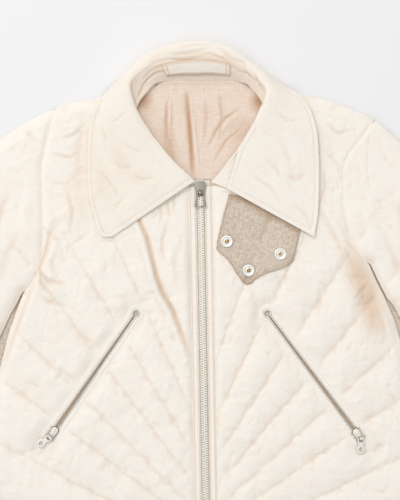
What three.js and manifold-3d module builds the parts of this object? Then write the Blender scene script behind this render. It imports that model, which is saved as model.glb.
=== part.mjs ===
// Quilted zip jacket, laid flat on its back. Millimetres, +Z up, neck towards +Y.
// The wearer's right side is at -X and the wearer's left side at +X.
// The origin is on the table under the middle of the whole outline.
import * as THREE from 'three';
import { mergeVertices } from 'three/addons/utils/BufferGeometryUtils.js';
import Module from 'manifold-3d';

const wasm = await Module();
wasm.setup();

// ---- driving sizes -------------------------------------------------------------------------
const GAP = 0.3;               // between pieces that touch
const SEAM_SHIFT = 0.5;        // sleeve edge, away from the armhole
const ARMPIT_SHIFT = 1.6;      // sleeve's inner edge, away from the body's side
const WALL = 3.0;              // wadded cloth of body and sleeves
const EDGE_WALL = 1.5;         // the same cloth, pressed at a closed edge
const AIR = 3.0;               // loft between the two lying layers
const ROLL_WIDTH = 26;         // a closed edge rounds over this far in
const PUFF = 3.6;              // height of a quilted channel over its sewn lines
const GROOVE = 1.0;            // dip of the cloth along a sewn seam
const HEM_Y = -345.5;
const ZIP_TOP_Y = 141.5;       // lower end of the main slider
const FRONT_TOP_Y = 154;       // top of the plackets
const INNER_Z = WALL + GAP;    // lowest height of an upper layer
const FULL_Z = INNER_Z + AIR + WALL;   // top of the flat upper cloth

const QUILT = {
  across: 88,                  // fan centre, on the far side of the zip
  y: -365,                     // fan centre, just below the hem
  right: [9, 19.6, 24.3, 30.5, 37, 45, 52.5, 62.5, 72.5, 83, 93],   // degrees from the zip line
  left: [9, 20, 26, 33, 40, 47.5, 55, 64.5, 74, 83.5, 93],
  fullWidth: 44,               // channels narrower than this puff less
  fadeTopY: 160,               // plain cloth above this height
  fadeFullY: 10,               // full quilting below this height
  pastSlider: 0.14,            // share of the pocket's length kept plain past its slider
};

const SLEEVE_GRID = {
  startOut: 190, startY: 262, slope: 65,       // on the sleeve's middle line, and its way down in degrees
  from: -12, to: 660, inside: -84, outside: 124,
  alongStep: 24, acrossStep: 15,
};

// Blanket of the fronts: its radii from the fan's centre, and its steps across one channel.
const FAN_GRID = { from: 95, to: 745, rings: 34, shares: [0, 0.3, 0.7] };

const ZIP = {
  x: -2,                       // of the zip line at the slider
  lean: 0.018,                 // how far the line moves to +X for each millimetre down
  tape: 27,
  tapeZ: 4.9,
  tapeThick: 1.0,
  tapeTopY: 163,
  tapeStart: 2,                // tape and chain, above the hem
  chainStart: 4,
  chain: 8.4,
  chainTop: 9.8,
  opening: 10.4,               // between the plackets
  placket: 9.2,
};
const SLIDER = { length: 18.5, wide: 14, narrow: 9.5, plateZ: 9.3, top: 10.8 };
const RING_PULL = { wide: 15.6, narrow: 8, long: 19.5, sideBar: 2.1, topBar: 1.3, endBar: 2.2 };
const POCKET = {
  mouthTop: 1.4,               // opening between the rows, at the ring end and at the slider
  mouthEnd: 5.4,
  row: 2.6,
  ringIn: 3.6,
  rowZ: 6.2,
  rowProud: 0.5,               // over the flat upper cloth
  clear: 0.4,
  slitPast: 1.2,               // slit, past the slider's end
  bag: 26,
  bagZ: 4.9,
  bagThick: 1,
  bagPastSlider: 18,
  bagPastRing: 14,
};
const POCKET_SLIDER = { length: 16, half: 4.3, taper: 3, top: FULL_Z + 1.6, pivot: 6 };
const SLIDER_RIB = { from: -3, to: 5, half: 1.5, rise: 1.6 };
const PLATE_PULL = {
  long: 19.5, round: 5.6, neck: 2.9, waist: 3.4, beforeRing: 4.4, turn: 2.3,
  holeLong: 2.9, holeHalf: 2.4, holeOff: 0.4,
  eyeClear: 0.8, eyeWall: 1.4, eyeLong: 4.8, eyeEnd: 5.4, neckStart: 7.4,
};
const BRIDGE = { hole: 1.75, outer: 3.1, width: 3.6, lift: 1.9 };
const BAR = { thick: 1.8, deep: 1.8 };
const TAB = { thick: 1.6, lift: 0.6 };
const SNAP = { outer: 8.2, inner: 2.3, height: 2.4 };
const COLLAR = { thick: 2.4, clear: 1.0, lap: 12, backSeamLift: 0.4, standGap: 0.5, restY: 283, restZ: 12 };
const HANGER = { from: 0.437, to: 0.553, low: 0.16, high: 0.56, thick: 1.2, back: 1.6, lift: 1.3, sag: 1.6 };
const GUSSET = { endY: -166, hem: 0.8, least: 1.2, thick: 2 };
const LINING = { inX: 7, inY: 9, frontTopY: 262, top: 4.5, puff: 0.6, fromY: 176, toY: 280, fade: 20 };
const LINING_BACK = [[66, 272], [55, 284.5], [36, 288.6], [-2, 289], [-38, 288.6], [-57, 284.5], [-68, 272]];
const BACK_NECK = [[-54, 292.6], [0, 293.4], [52, 292.6]];
const BACK_NECK_Y = 292;
const CUT = { from: -50, to: 90 };     // heights of a cutter, past all the cloth
const PROBE = { reach: 3, spots: 8 };  // round a spot, where the cloth under it is felt

// ---- outline tables: distances out from the centre line and heights, one pair a side ---------
const SIDE = { right: -1, left: 1 };

const SHOULDER_AND_SLEEVE = [
  { out: 59, right: 287.5, left: 287.5 },
  { out: 95, right: 280, left: 281 },
  { out: 132, right: 268.7, left: 272.5 },
  { out: 160, right: 264.4, left: 267.3 },
  { out: 180, right: 259.4, left: 260 },
  { out: 204.7, right: 250.1, left: 250.1 },
  { out: 231.4, right: 235.6, left: 236.2 },
  { out: 262.6, right: 214.8, left: 208 },
  { out: 321, right: 161, left: 158 },
  { out: 387.4, right: 85.8, left: 84 },
  { out: 452, right: -88, left: -88 },
  { out: 516, right: -295, left: -295 },
];
const ARMHOLE = [
  { rightOut: 193, rightY: 254.7, leftOut: 225, leftY: 239.6 },
  { rightOut: 202.4, rightY: 214.5, leftOut: 204, leftY: 212 },
  { rightOut: 210, rightY: 172, leftOut: 186, leftY: 184 },
  { rightOut: 208.4, rightY: 120, leftOut: 184, leftY: 148 },
  { rightOut: 209, rightY: 70, leftOut: 187.5, leftY: 108 },
  { rightOut: 216, rightY: 38, leftOut: 200, leftY: 73 },
  { rightOut: 233.6, rightY: 13.8, leftOut: 219, leftY: 50.7 },
];
const BODY_SIDE = [
  { rightOut: 233.6, rightY: 13.8, leftOut: 219, leftY: 50.7 },
  { rightOut: 240, rightY: -2.5, leftOut: 228.5, leftY: 29 },
  { rightOut: 246, rightY: -19.4, leftOut: 240, leftY: 5.5 },
  { rightOut: 256.8, rightY: -54.2, leftOut: 257, leftY: -39 },
  { rightOut: 277, rightY: -150, leftOut: 275.6, leftY: -125 },
  { rightOut: 279, rightY: -250, leftOut: 279, leftY: -235 },
  { rightOut: 275.6, rightY: HEM_Y, leftOut: 275.6, leftY: HEM_Y },
];
const SLEEVE_INNER = [
  { rightOut: 233.6, rightY: 13.8, leftOut: 219, leftY: 50.7 },
  { rightOut: 241.5, rightY: -2, leftOut: 229, leftY: 29.4 },
  { rightOut: 250.6, rightY: -18, leftOut: 241.4, leftY: 6 },
  { rightOut: 263, rightY: -45, leftOut: 258.4, leftY: -21 },
  { rightOut: 330, rightY: -188, leftOut: 328, leftY: -178 },
  { rightOut: 403, rightY: -344.5, leftOut: 403, leftY: -344.5 },
];
const NECKLINE = [
  { y: FRONT_TOP_Y, right: 10, left: 12 },
  { y: 160, right: 31, left: 34 },
  { y: 170, right: 46, left: 49 },
  { y: 195, right: 68, left: 65 },
  { y: 222, right: 82, left: 77 },
  { y: 243, right: 87, left: 81 },
  { y: 262, right: 82, left: 78 },
  { y: 277, right: 70, left: 68 },
  { y: 292, right: 56, left: 54 },
];
// Largest folds of the lying cloth: a ridge (or a trough, when the rise is below zero).
const FOLDS = [
  { fromX: -83, fromY: 112, toX: -58, toY: 30, width: 13, rise: 2.2 },
  { fromX: -58, fromY: 30, toX: -28, toY: -34, width: 12, rise: 1.8 },
  { fromX: 152, fromY: 136, toX: 184, toY: 84, width: 12, rise: 1.6 },
  { fromX: 219, fromY: 31, toX: 186, toY: -6, width: 10, rise: 1.5 },
  { fromX: -212, fromY: 50, toX: -196, toY: 6, width: 10, rise: 1.5 },
  { fromX: -262, fromY: 150, toX: -300, toY: 30, width: 14, rise: 1.8 },
  { fromX: 262, fromY: 140, toX: 306, toY: 26, width: 14, rise: 1.8 },
  { fromX: -372, fromY: -60, toX: -330, toY: -110, width: 12, rise: 2.0 },
  { fromX: 366, fromY: -86, toX: 326, toY: -128, width: 12, rise: 2.0 },
  { fromX: -434, fromY: -196, toX: -392, toY: -232, width: 12, rise: 1.6 },
  { fromX: 440, fromY: -176, toX: 400, toY: -222, width: 12, rise: 1.6 },
];
// Collar sections, from the wearer's right front round the back to the left front. Each runs from
// the neck seam over the crest (the roll line) to the collar's outer edge. bearing is the way out,
// in degrees; bulge and tuck are how far the curve is drawn out past the crest and past the edge.
const COLLAR_ROWS = [
  {
    neck: [-14, 155.5], crest: [-10.4, 158.6, 15.8],
    edge: [-116, 87.5, 12], bearing: 214, bulge: 10, tuck: -35,
  },
  {
    neck: [-46, 170], crest: [-36, 183, 17],
    edge: [-137.5, 102, 12], bearing: 219, bulge: 10, tuck: -35,
  },
  {
    neck: [-68, 195], crest: [-57, 208.5, 18],
    edge: [-147.5, 143, 12], bearing: 216, bulge: 10, tuck: -30,
  },
  {
    neck: [-82, 222], crest: [-73, 231, 20],
    edge: [-148.8, 191, 12], bearing: 208, bulge: 10, tuck: -25,
  },
  {
    neck: [-87, 243], crest: [-85, 252, 22],
    edge: [-146.5, 232, 12], bearing: 198, bulge: 9, tuck: -20,
  },
  {
    neck: [-82, 262], crest: [-93, 277, 23],
    edge: [-136, 261, 9], bearing: 197, bulge: 9, tuck: -10,
  },
  {
    neck: [-72, 275], crest: [-94, 294, 22],
    edge: [-112, 288, 2.2], bearing: 160, bulge: 6, tuck: 5, lap: 4,
  },
  {
    neck: [-60, 287], crest: [-79, 314, 21],
    edge: [-80, 307, 1.8], bearing: 138, bulge: 11, tuck: 11, lap: 9,
  },
  {
    neck: [-40, 291], crest: [-55, 331.5, 21],
    edge: [-50, 318, 1.8], bearing: 113, bulge: 13, tuck: 16, lap: 12,
  },
  {
    neck: [-2, 291.4], crest: [-2, 340, 21],
    edge: [-2, 320, 1.8], bearing: 90, bulge: 15, tuck: 20, lap: 12,
  },
  {
    neck: [38, 291], crest: [38, 331, 21],
    edge: [33, 317, 1.8], bearing: 68, bulge: 13, tuck: 16, lap: 12,
  },
  {
    neck: [57, 287], crest: [65, 309, 21],
    edge: [66, 304, 1.8], bearing: 48, bulge: 11, tuck: 11, lap: 9,
  },
  {
    neck: [69, 275], crest: [80, 290, 22],
    edge: [103, 287, 2.2], bearing: 25, bulge: 7, tuck: 5, lap: 4,
  },
  {
    neck: [78, 261], crest: [83, 274, 23],
    edge: [134, 263, 12], bearing: -12, bulge: 9, tuck: -10,
  },
  {
    neck: [81, 243], crest: [76, 252, 22],
    edge: [148, 231, 15], bearing: -16, bulge: 9, tuck: -20,
  },
  {
    neck: [77, 222], crest: [64, 229, 17.6], fold: [64, 229, 20.8],
    edge: [151.8, 191, 15], bearing: -23, bulge: 10, tuck: -25,
  },
  {
    neck: [65, 195], crest: [48, 203, 15.6], fold: [48.5, 203, 19.2],
    edge: [152, 150, 15], bearing: -27, bulge: 10, tuck: -30,
  },
  {
    neck: [51, 171], crest: [30, 180, 13.8], fold: [41, 179, 18],
    edge: [150.5, 117, 15], bearing: -30, bulge: 10, tuck: -35,
  },
  {
    neck: [37, 148.5], crest: [12, 158, 12.8], fold: [32, 149.6, 17],
    edge: [145.5, 87, 16], bearing: -29, bulge: 10, tuck: -35,
  },
];
const TAB_OUTLINE = [
  [34.8, 143], [26, 108], [19.2, 76.7], [21.2, 68.4], [33.5, 57.2], [53.3, 28], [63.4, 26.7], [69.7, 32.5],
  [83.2, 39.8], [103.2, 45.9], [114.4, 52], [119.6, 59.8], [126.9, 92.3], [132, 122],
];
const SNAPS = [
  { name: 'snap_1', x: 32.4, y: 81.4 },
  { name: 'snap_2', x: 101.7, y: 65 },
  { name: 'snap_3', x: 60.6, y: 43.7 },
];
// Pockets: the ring end, the slider, and which way the pull lies (degrees from +X).
const POCKETS = {
  right: { ringX: -86, ringY: -12.5, sliderX: -194, sliderY: -168, pull: 213 },
  left: { ringX: 85, ringY: -12.5, sliderX: 203, sliderY: -170, pull: 268.5 },
};

// ---- materials -------------------------------------------------------------------------------
const finish = (name, color, roughness, metalness = 0) => (
  new THREE.MeshStandardMaterial({ name, color, roughness, metalness })
);
const cloth = finish('ecru_cloth', 0xf3eadf, 0.92);
const linen = finish('heather_linen', 0xd8c8b6, 0.95);
const lining = finish('lining_linen', 0xe6d5c4, 0.95);
const tape = finish('zip_tape', 0xefe6da, 0.9);
const nickel = finish('nickel', 0xcfcdc6, 0.3, 1);

const jacket = new THREE.Group();
jacket.name = 'quilted_jacket';

function addPiece(name, geometry, material, parent = jacket) {
  const mesh = new THREE.Mesh(geometry, material);
  mesh.name = name;
  parent.add(mesh);
  return mesh;
}

// ---- plane curves ----------------------------------------------------------------------------
const clamp01 = (t) => Math.min(1, Math.max(0, t));
const smooth = (t) => clamp01(t) ** 2 * (3 - 2 * clamp01(t));
const radians = THREE.MathUtils.degToRad;
const lerp = THREE.MathUtils.lerp;

function splinePoints(points, segments) {
  return new THREE.SplineCurve(points).getPoints(segments);
}

function sideCurve(table, side, segments) {
  const points = table.map((row) => new THREE.Vector2(SIDE[side] * row[`${side}Out`], row[`${side}Y`]));
  return splinePoints(points, segments);
}

function foldCurve(side) {
  const points = SHOULDER_AND_SLEEVE.map((row) => new THREE.Vector2(SIDE[side] * row.out, row[side]));
  return splinePoints(points, 66);
}

function zipX(y) {
  return ZIP.x + (ZIP_TOP_Y - y) * ZIP.lean;
}

function distanceToPath(x, y, path) {
  let best = Infinity;
  for (let i = 1; i < path.length; i += 1) {
    const a = path[i - 1];
    const b = path[i];
    const dx = b.x - a.x;
    const dy = b.y - a.y;
    const along = clamp01(((x - a.x) * dx + (y - a.y) * dy) / (dx * dx + dy * dy));
    best = Math.min(best, Math.hypot(x - a.x - along * dx, y - a.y - along * dy));
  }
  return best;
}

function resample(path, segments) {
  const points = path.map((p) => new THREE.Vector3(p.x, p.y, 0));
  const spans = points.map((p, i) => (i ? p.distanceTo(points[i - 1]) : 0));
  const total = spans.reduce((sum, span) => sum + span, 0);
  const out = [];
  for (let k = 0; k <= segments; k += 1) {
    let target = (total * k) / segments;
    let i = 1;
    while (i < spans.length - 1 && target > spans[i]) {
      target -= spans[i];
      i += 1;
    }
    out.push(new THREE.Vector2().lerpVectors(path[i - 1], path[i], clamp01(target / spans[i])));
  }
  return out;
}

const ARMHOLE_STEPS = 12;
const SLEEVE_STEPS = 18;
const outlines = {};
for (const side of Object.keys(SIDE)) {
  const fold = foldCurve(side);
  const armhole = sideCurve(ARMHOLE, side, ARMHOLE_STEPS);
  const tip = armhole[0];
  const isShoulder = (p) => Math.abs(p.x) < Math.abs(tip.x) - 4;
  outlines[side] = {
    sign: SIDE[side],
    fold,
    armhole,
    shoulder: [...fold.filter(isShoulder), tip],
    sleeveOuter: [tip, ...fold.filter((p) => Math.abs(p.x) > Math.abs(tip.x) + 4)],
    bodySide: sideCurve(BODY_SIDE, side, 20),
    sleeveInner: resample(sideCurve(SLEEVE_INNER, side, 60), SLEEVE_STEPS),
    neckline: splinePoints(NECKLINE.map((row) => new THREE.Vector2(SIDE[side] * row[side], row.y)), 24),
  };
}

function mainSide(x, y) {
  return outlines[x < zipX(y) ? 'right' : 'left'];
}

// ---- heights of the lying cloth ----------------------------------------------------------------
function closedEdgeDistance(x, y) {
  const { fold, bodySide, sleeveInner } = mainSide(x, y);
  return Math.min(...[fold, bodySide, sleeveInner].map((path) => distanceToPath(x, y, path)));
}

function roll(distance) {
  const t = clamp01(distance / ROLL_WIDTH);
  return Math.sqrt(1 - (1 - t) ** 2);
}

function innerZ(x, y) {
  return INNER_Z + AIR * roll(closedEdgeDistance(x, y));
}

function foldRise(x, y) {
  let rise = 0;
  for (const fold of FOLDS) {
    const ends = [new THREE.Vector2(fold.fromX, fold.fromY), new THREE.Vector2(fold.toX, fold.toY)];
    const distance = distanceToPath(x, y, ends) / fold.width;
    rise += fold.rise * Math.exp(-2 * distance * distance);
  }
  return rise;
}

function pocketLine(side) {
  const p = POCKETS[side];
  return [new THREE.Vector2(p.ringX, p.ringY), new THREE.Vector2(p.sliderX, p.sliderY)];
}

function quiltRise(x, y) {
  const o = mainSide(x, y);
  const side = o.sign < 0 ? 'right' : 'left';
  const across = QUILT.across + Math.abs(x);
  const up = y - QUILT.y;
  const angle = THREE.MathUtils.radToDeg(Math.atan2(across, up));
  const lines = QUILT[side];
  const i = lines.findIndex((line) => line > angle);
  if (i < 1) {
    return 0;
  }
  const share = (angle - lines[i - 1]) / (lines[i] - lines[i - 1]);
  const width = Math.hypot(across, up) * radians(lines[i] - lines[i - 1]);
  const crown = Math.sin(Math.PI * share) ** 0.75;
  const height = PUFF * Math.min(1, width / QUILT.fullWidth) * crown;
  const fade = smooth((QUILT.fadeTopY - y) / (QUILT.fadeTopY - QUILT.fadeFullY));
  const pucker = 1 + 0.1 * Math.sin(Math.hypot(across, up) / 17 + i * 1.7);
  const [ringEnd, sliderEnd] = pocketLine(side);
  const pullEnd = sliderEnd.clone().lerp(ringEnd, -QUILT.pastSlider);
  const calm = smooth((distanceToPath(x, y, [ringEnd, pullEnd]) - 9) / 16);
  return height * fade * pucker * calm;
}

function upperZ(x, y) {
  const o = mainSide(x, y);
  const edge = closedEdgeDistance(x, y);
  const seam = Math.min(
    distanceToPath(x, y, o.armhole),
    Math.abs(x) < 200 && y < FRONT_TOP_Y ? Math.abs(x - zipX(y)) - ZIP.opening / 2 - ZIP.placket : Infinity,
    y > 100 ? distanceToPath(x, y, o.neckline) : Infinity,
  );
  const wall = lerp(EDGE_WALL, WALL, smooth(edge / 14));
  const relief = (quiltRise(x, y) + foldRise(x, y)) * smooth(edge / 22) * smooth(Math.abs(seam) / 14);
  const groove = GROOVE * (1 - smooth(Math.abs(seam) / 7)) * smooth(edge / 10);
  return innerZ(x, y) + wall + relief - groove;
}

// ---- closed solids -----------------------------------------------------------------------------
// A closed solid from a grid of lower points and the upper points over them.
function slab(rows, columns, lowerPoint, upperPoint) {
  const positions = [];
  const index = [];
  const stride = columns + 1;
  const layer = (rows + 1) * stride;
  for (const point of [lowerPoint, upperPoint]) {
    for (let i = 0; i <= rows; i += 1) {
      for (let j = 0; j <= columns; j += 1) {
        positions.push(...point(i, j));
      }
    }
  }
  const quad = (a, b, c, d) => index.push(a, b, c, a, c, d);
  const at = (i, j) => i * stride + j;
  for (let i = 0; i < rows; i += 1) {
    for (let j = 0; j < columns; j += 1) {
      quad(layer + at(i, j), layer + at(i + 1, j), layer + at(i + 1, j + 1), layer + at(i, j + 1));
      quad(at(i, j), at(i, j + 1), at(i + 1, j + 1), at(i + 1, j));
    }
  }
  for (let i = 0; i < rows; i += 1) {
    quad(at(i, 0), at(i + 1, 0), layer + at(i + 1, 0), layer + at(i, 0));
    quad(at(i + 1, columns), at(i, columns), layer + at(i, columns), layer + at(i + 1, columns));
  }
  for (let j = 0; j < columns; j += 1) {
    quad(at(0, j + 1), at(0, j), layer + at(0, j), layer + at(0, j + 1));
    quad(at(rows, j), at(rows, j + 1), layer + at(rows, j + 1), layer + at(rows, j));
  }
  const geometry = new THREE.BufferGeometry();
  geometry.setAttribute('position', new THREE.Float32BufferAttribute(positions, 3));
  geometry.setIndex(index);
  faceOutward(geometry);
  geometry.computeVertexNormals();
  return geometry;
}

function signedVolume(geometry) {
  const p = geometry.attributes.position;
  const index = geometry.index.array;
  const [a, b, c] = [new THREE.Vector3(), new THREE.Vector3(), new THREE.Vector3()];
  let volume = 0;
  for (let t = 0; t < index.length; t += 3) {
    a.fromBufferAttribute(p, index[t]);
    b.fromBufferAttribute(p, index[t + 1]);
    c.fromBufferAttribute(p, index[t + 2]);
    volume += a.dot(b.cross(c)) / 6;
  }
  return volume;
}

function faceOutward(geometry) {
  if (signedVolume(geometry) < 0) {
    geometry.index.array.reverse();
  }
}

function flatPiece(points, fromZ, toZ, holes = []) {
  const shape = new THREE.Shape(points);
  shape.holes = holes.map((hole) => new THREE.Path(hole));
  const geometry = new THREE.ExtrudeGeometry(shape, { depth: toZ - fromZ, bevelEnabled: false });
  geometry.translate(0, 0, fromZ);
  return geometry;
}

function toManifold(geometry) {
  const bare = geometry.clone();
  bare.deleteAttribute('normal');
  if (bare.attributes.uv) {
    bare.deleteAttribute('uv');
  }
  const merged = mergeVertices(bare, 1e-4);
  const vertProperties = merged.attributes.position.array;
  const triVerts = new Uint32Array(merged.index.array);
  return new wasm.Manifold(new wasm.Mesh({ numProp: 3, vertProperties, triVerts }));
}

function fromManifold(solid) {
  const mesh = solid.getMesh();
  const geometry = new THREE.BufferGeometry();
  geometry.setAttribute('position', new THREE.BufferAttribute(Float32Array.from(mesh.vertProperties), 3));
  geometry.setIndex(new THREE.BufferAttribute(Uint32Array.from(mesh.triVerts), 1));
  geometry.computeVertexNormals();
  return geometry;
}

// Cuts a blanket of cloth to an outline, then lays every cut point on the true heights.
function cutCloth(blanket, outline, holes, lower, upper) {
  let solid = toManifold(blanket).intersect(toManifold(flatPiece(outline, CUT.from, CUT.to)));
  for (const hole of holes) {
    solid = solid.subtract(toManifold(flatPiece(hole, CUT.from, CUT.to)));
  }
  const geometry = fromManifold(solid);
  const p = geometry.attributes.position;
  for (let i = 0; i < p.count; i += 1) {
    const low = lower(p.getX(i), p.getY(i));
    const high = upper(p.getX(i), p.getY(i));
    p.setZ(i, p.getZ(i) > (low + high) / 2 ? high : low);
  }
  geometry.computeVertexNormals();
  return geometry;
}

// A wall of even thickness along a surface, from its middle points.
function shell(rows, columns, middle, thickness) {
  const step = 1e-3;
  const facePoint = (i, j, offset) => {
    const u = i / rows;
    const v = j / columns;
    const centre = middle(u, v);
    const du = middle(Math.min(1, u + step), v).sub(middle(Math.max(0, u - step), v));
    const dv = middle(u, Math.min(1, v + step)).sub(middle(u, Math.max(0, v - step)));
    return centre.addScaledVector(du.cross(dv).normalize(), offset).toArray();
  };
  const inner = (i, j) => facePoint(i, j, -thickness / 2);
  const outer = (i, j) => facePoint(i, j, thickness / 2);
  return slab(rows, columns, inner, outer);
}

// ---- pockets -----------------------------------------------------------------------------------
// Places a point given along the pocket line from its slider (s) and across it (t).
function pocketPoint(side, s, t) {
  const [ring, slider] = pocketLine(side);
  const along = ring.clone().sub(slider).normalize();
  return new THREE.Vector2(slider.x + along.x * s - along.y * t, slider.y + along.y * s + along.x * t);
}

function pocketLength(side) {
  const [ring, slider] = pocketLine(side);
  return ring.distanceTo(slider);
}

// Half outline of the toothed rows at a distance out from the mouth: up one side and round the ring.
function rowOutline(side, fromS, extra) {
  const length = pocketLength(side);
  const ring = POCKET.ringIn + extra;
  const half = (s) => lerp(POCKET.mouthEnd, POCKET.mouthTop, clamp01(s / length)) / 2 + extra;
  const joinAngle = Math.asin(Math.min(0.95, half(length) / ring));
  const points = [];
  for (const s of [fromS, length * 0.3, length * 0.6, length - ring * Math.cos(joinAngle)]) {
    points.push(pocketPoint(side, s, half(s)));
  }
  const turns = 12;
  for (let k = 1; k < turns; k += 1) {
    const angle = Math.PI - joinAngle - (k / turns) * 2 * (Math.PI - joinAngle);
    points.push(pocketPoint(side, length + ring * Math.cos(angle), ring * Math.sin(angle)));
  }
  for (const s of [length - ring * Math.cos(joinAngle), length * 0.6, length * 0.3, fromS]) {
    points.push(pocketPoint(side, s, -half(s)));
  }
  return points;
}

function pocketSlit(side) {
  return rowOutline(side, -POCKET_SLIDER.length / 2 - POCKET.slitPast, POCKET.row + POCKET.clear);
}

function buildPocket(side) {
  const rowsFrom = POCKET_SLIDER.length / 2 + GAP;
  const outer = rowOutline(side, rowsFrom, POCKET.row);
  const inner = rowOutline(side, rowsFrom, 0);
  const rows = flatPiece([...outer, ...inner.reverse()], POCKET.rowZ, FULL_Z + POCKET.rowProud);
  addPiece(`pocket_zip_${side}`, rows, nickel);

  const half = POCKET.bag / 2;
  const bagFrom = -POCKET.bagPastSlider;
  const bagTo = pocketLength(side) + POCKET.bagPastRing;
  const bag = [[bagFrom, -half], [bagTo, -half], [bagTo, half], [bagFrom, half]];
  const bagPoints = bag.map(([s, t]) => pocketPoint(side, s, t));
  addPiece(`pocket_bag_${side}`, flatPiece(bagPoints, POCKET.bagZ, POCKET.bagZ + POCKET.bagThick), linen);

  const pivot = pocketPoint(side, -POCKET_SLIDER.pivot, 0);
  const frame = new THREE.Group();
  frame.position.set(pivot.x, pivot.y, 0);
  jacket.add(frame);
  const [ring, slider] = pocketLine(side);
  const zipAngle = Math.atan2(ring.y - slider.y, ring.x - slider.x);
  const pullAngle = radians(POCKETS[side].pull);
  const { length: long, half: wide, taper, top } = POCKET_SLIDER;
  const block = (outline, topZ) => {
    const points = outline.map(([s, t]) => new THREE.Vector2(s + POCKET_SLIDER.pivot, t));
    return toManifold(flatPiece(points, POCKET.rowZ, topZ).rotateZ(zipAngle));
  };
  const body = block([
    [-long / 2, -wide * 0.7], [long / 2 - taper, -wide], [long / 2, -wide * 0.6],
    [long / 2, wide * 0.6], [long / 2 - taper, wide], [-long / 2, wide * 0.7],
  ], top);
  const { from, to, half: ribHalf, rise } = SLIDER_RIB;
  const rib = block([[from, -ribHalf], [to, -ribHalf], [to, ribHalf], [from, ribHalf]], top + rise);
  const bridge = bridgeGeometry(top);
  bridge.rotateZ(pullAngle);
  addPiece(`pocket_slider_${side}`, fromManifold(body.add(rib).add(toManifold(bridge))), nickel, frame);

  const pull = pullPlate();
  pull.rotateZ(pullAngle);
  pull.translate(0, 0, top + BRIDGE.lift);
  addPiece(`pocket_pull_${side}`, pull, nickel, frame);
}

// ---- sliders and pulls ---------------------------------------------------------------------------
// A plate of a plane shape, with its middle at height 0.
function extruded(shape, depth) {
  const geometry = new THREE.ExtrudeGeometry(shape, { depth, bevelEnabled: false, curveSegments: 8 });
  geometry.translate(0, 0, -depth / 2);
  return geometry;
}

// A round eye over the slider, its hole along Y, centred over the origin; the pull points to +X.
function bridgeGeometry(topZ) {
  const shape = new THREE.Shape();
  shape.absarc(0, 0, BRIDGE.outer, 0, 2 * Math.PI);
  const hole = new THREE.Path();
  hole.absarc(0, 0, BRIDGE.hole, 0, 2 * Math.PI, true);
  shape.holes.push(hole);
  const geometry = extruded(shape, BRIDGE.width);
  geometry.rotateX(Math.PI / 2);
  geometry.translate(0, 0, topZ + BRIDGE.lift);
  return geometry;
}

// Plate pull with an eye for the bridge at the origin and a ring at its far end, lying towards +X.
function pullPlate() {
  const p = PLATE_PULL;
  const eyeHalf = BRIDGE.width / 2 + p.eyeClear;
  const headHalf = eyeHalf + p.eyeWall;
  const end = p.long - p.round;
  const shape = new THREE.Shape();
  shape.moveTo(-BAR.deep / 2, -headHalf);
  shape.lineTo(p.eyeEnd, -headHalf);
  shape.lineTo(p.neckStart, -p.neck);
  shape.lineTo(end - p.beforeRing, -p.waist);
  shape.absarc(end, 0, p.round, -p.turn, p.turn);
  shape.lineTo(end - p.beforeRing, p.waist);
  shape.lineTo(p.neckStart, p.neck);
  shape.lineTo(p.eyeEnd, headHalf);
  shape.lineTo(-BAR.deep / 2, headHalf);
  shape.closePath();
  const eye = new THREE.Path();
  eye.moveTo(BAR.deep / 2, -eyeHalf);
  eye.lineTo(BAR.deep / 2, eyeHalf);
  eye.lineTo(p.eyeLong, eyeHalf);
  eye.lineTo(p.eyeLong, -eyeHalf);
  eye.closePath();
  const ring = new THREE.Path();
  ring.absellipse(end + p.holeOff, 0, p.holeLong, p.holeHalf, 0, 2 * Math.PI, true);
  shape.holes.push(eye, ring);
  return extruded(shape, BAR.thick);
}

// Open trapezoid pull of the main zip, lying towards -Y, its narrow bar through the bridge at the origin.
function ringPull() {
  const { long, sideBar, topBar, endBar } = RING_PULL;
  const narrow = RING_PULL.narrow / 2;
  const wide = RING_PULL.wide / 2;
  const half = BAR.deep / 2;
  const outer = [[-wide, half - long], [wide, half - long], [narrow, half], [-narrow, half]];
  const inner = [
    [-narrow + topBar, -half], [narrow - topBar, -half],
    [wide - sideBar, endBar - long], [-wide + sideBar, endBar - long],
  ];
  const toVector = ([x, y]) => new THREE.Vector2(x, y);
  const shape = new THREE.Shape(outer.map(toVector));
  shape.holes.push(new THREE.Path(inner.map(toVector)));
  return extruded(shape, BAR.thick);
}

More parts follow.
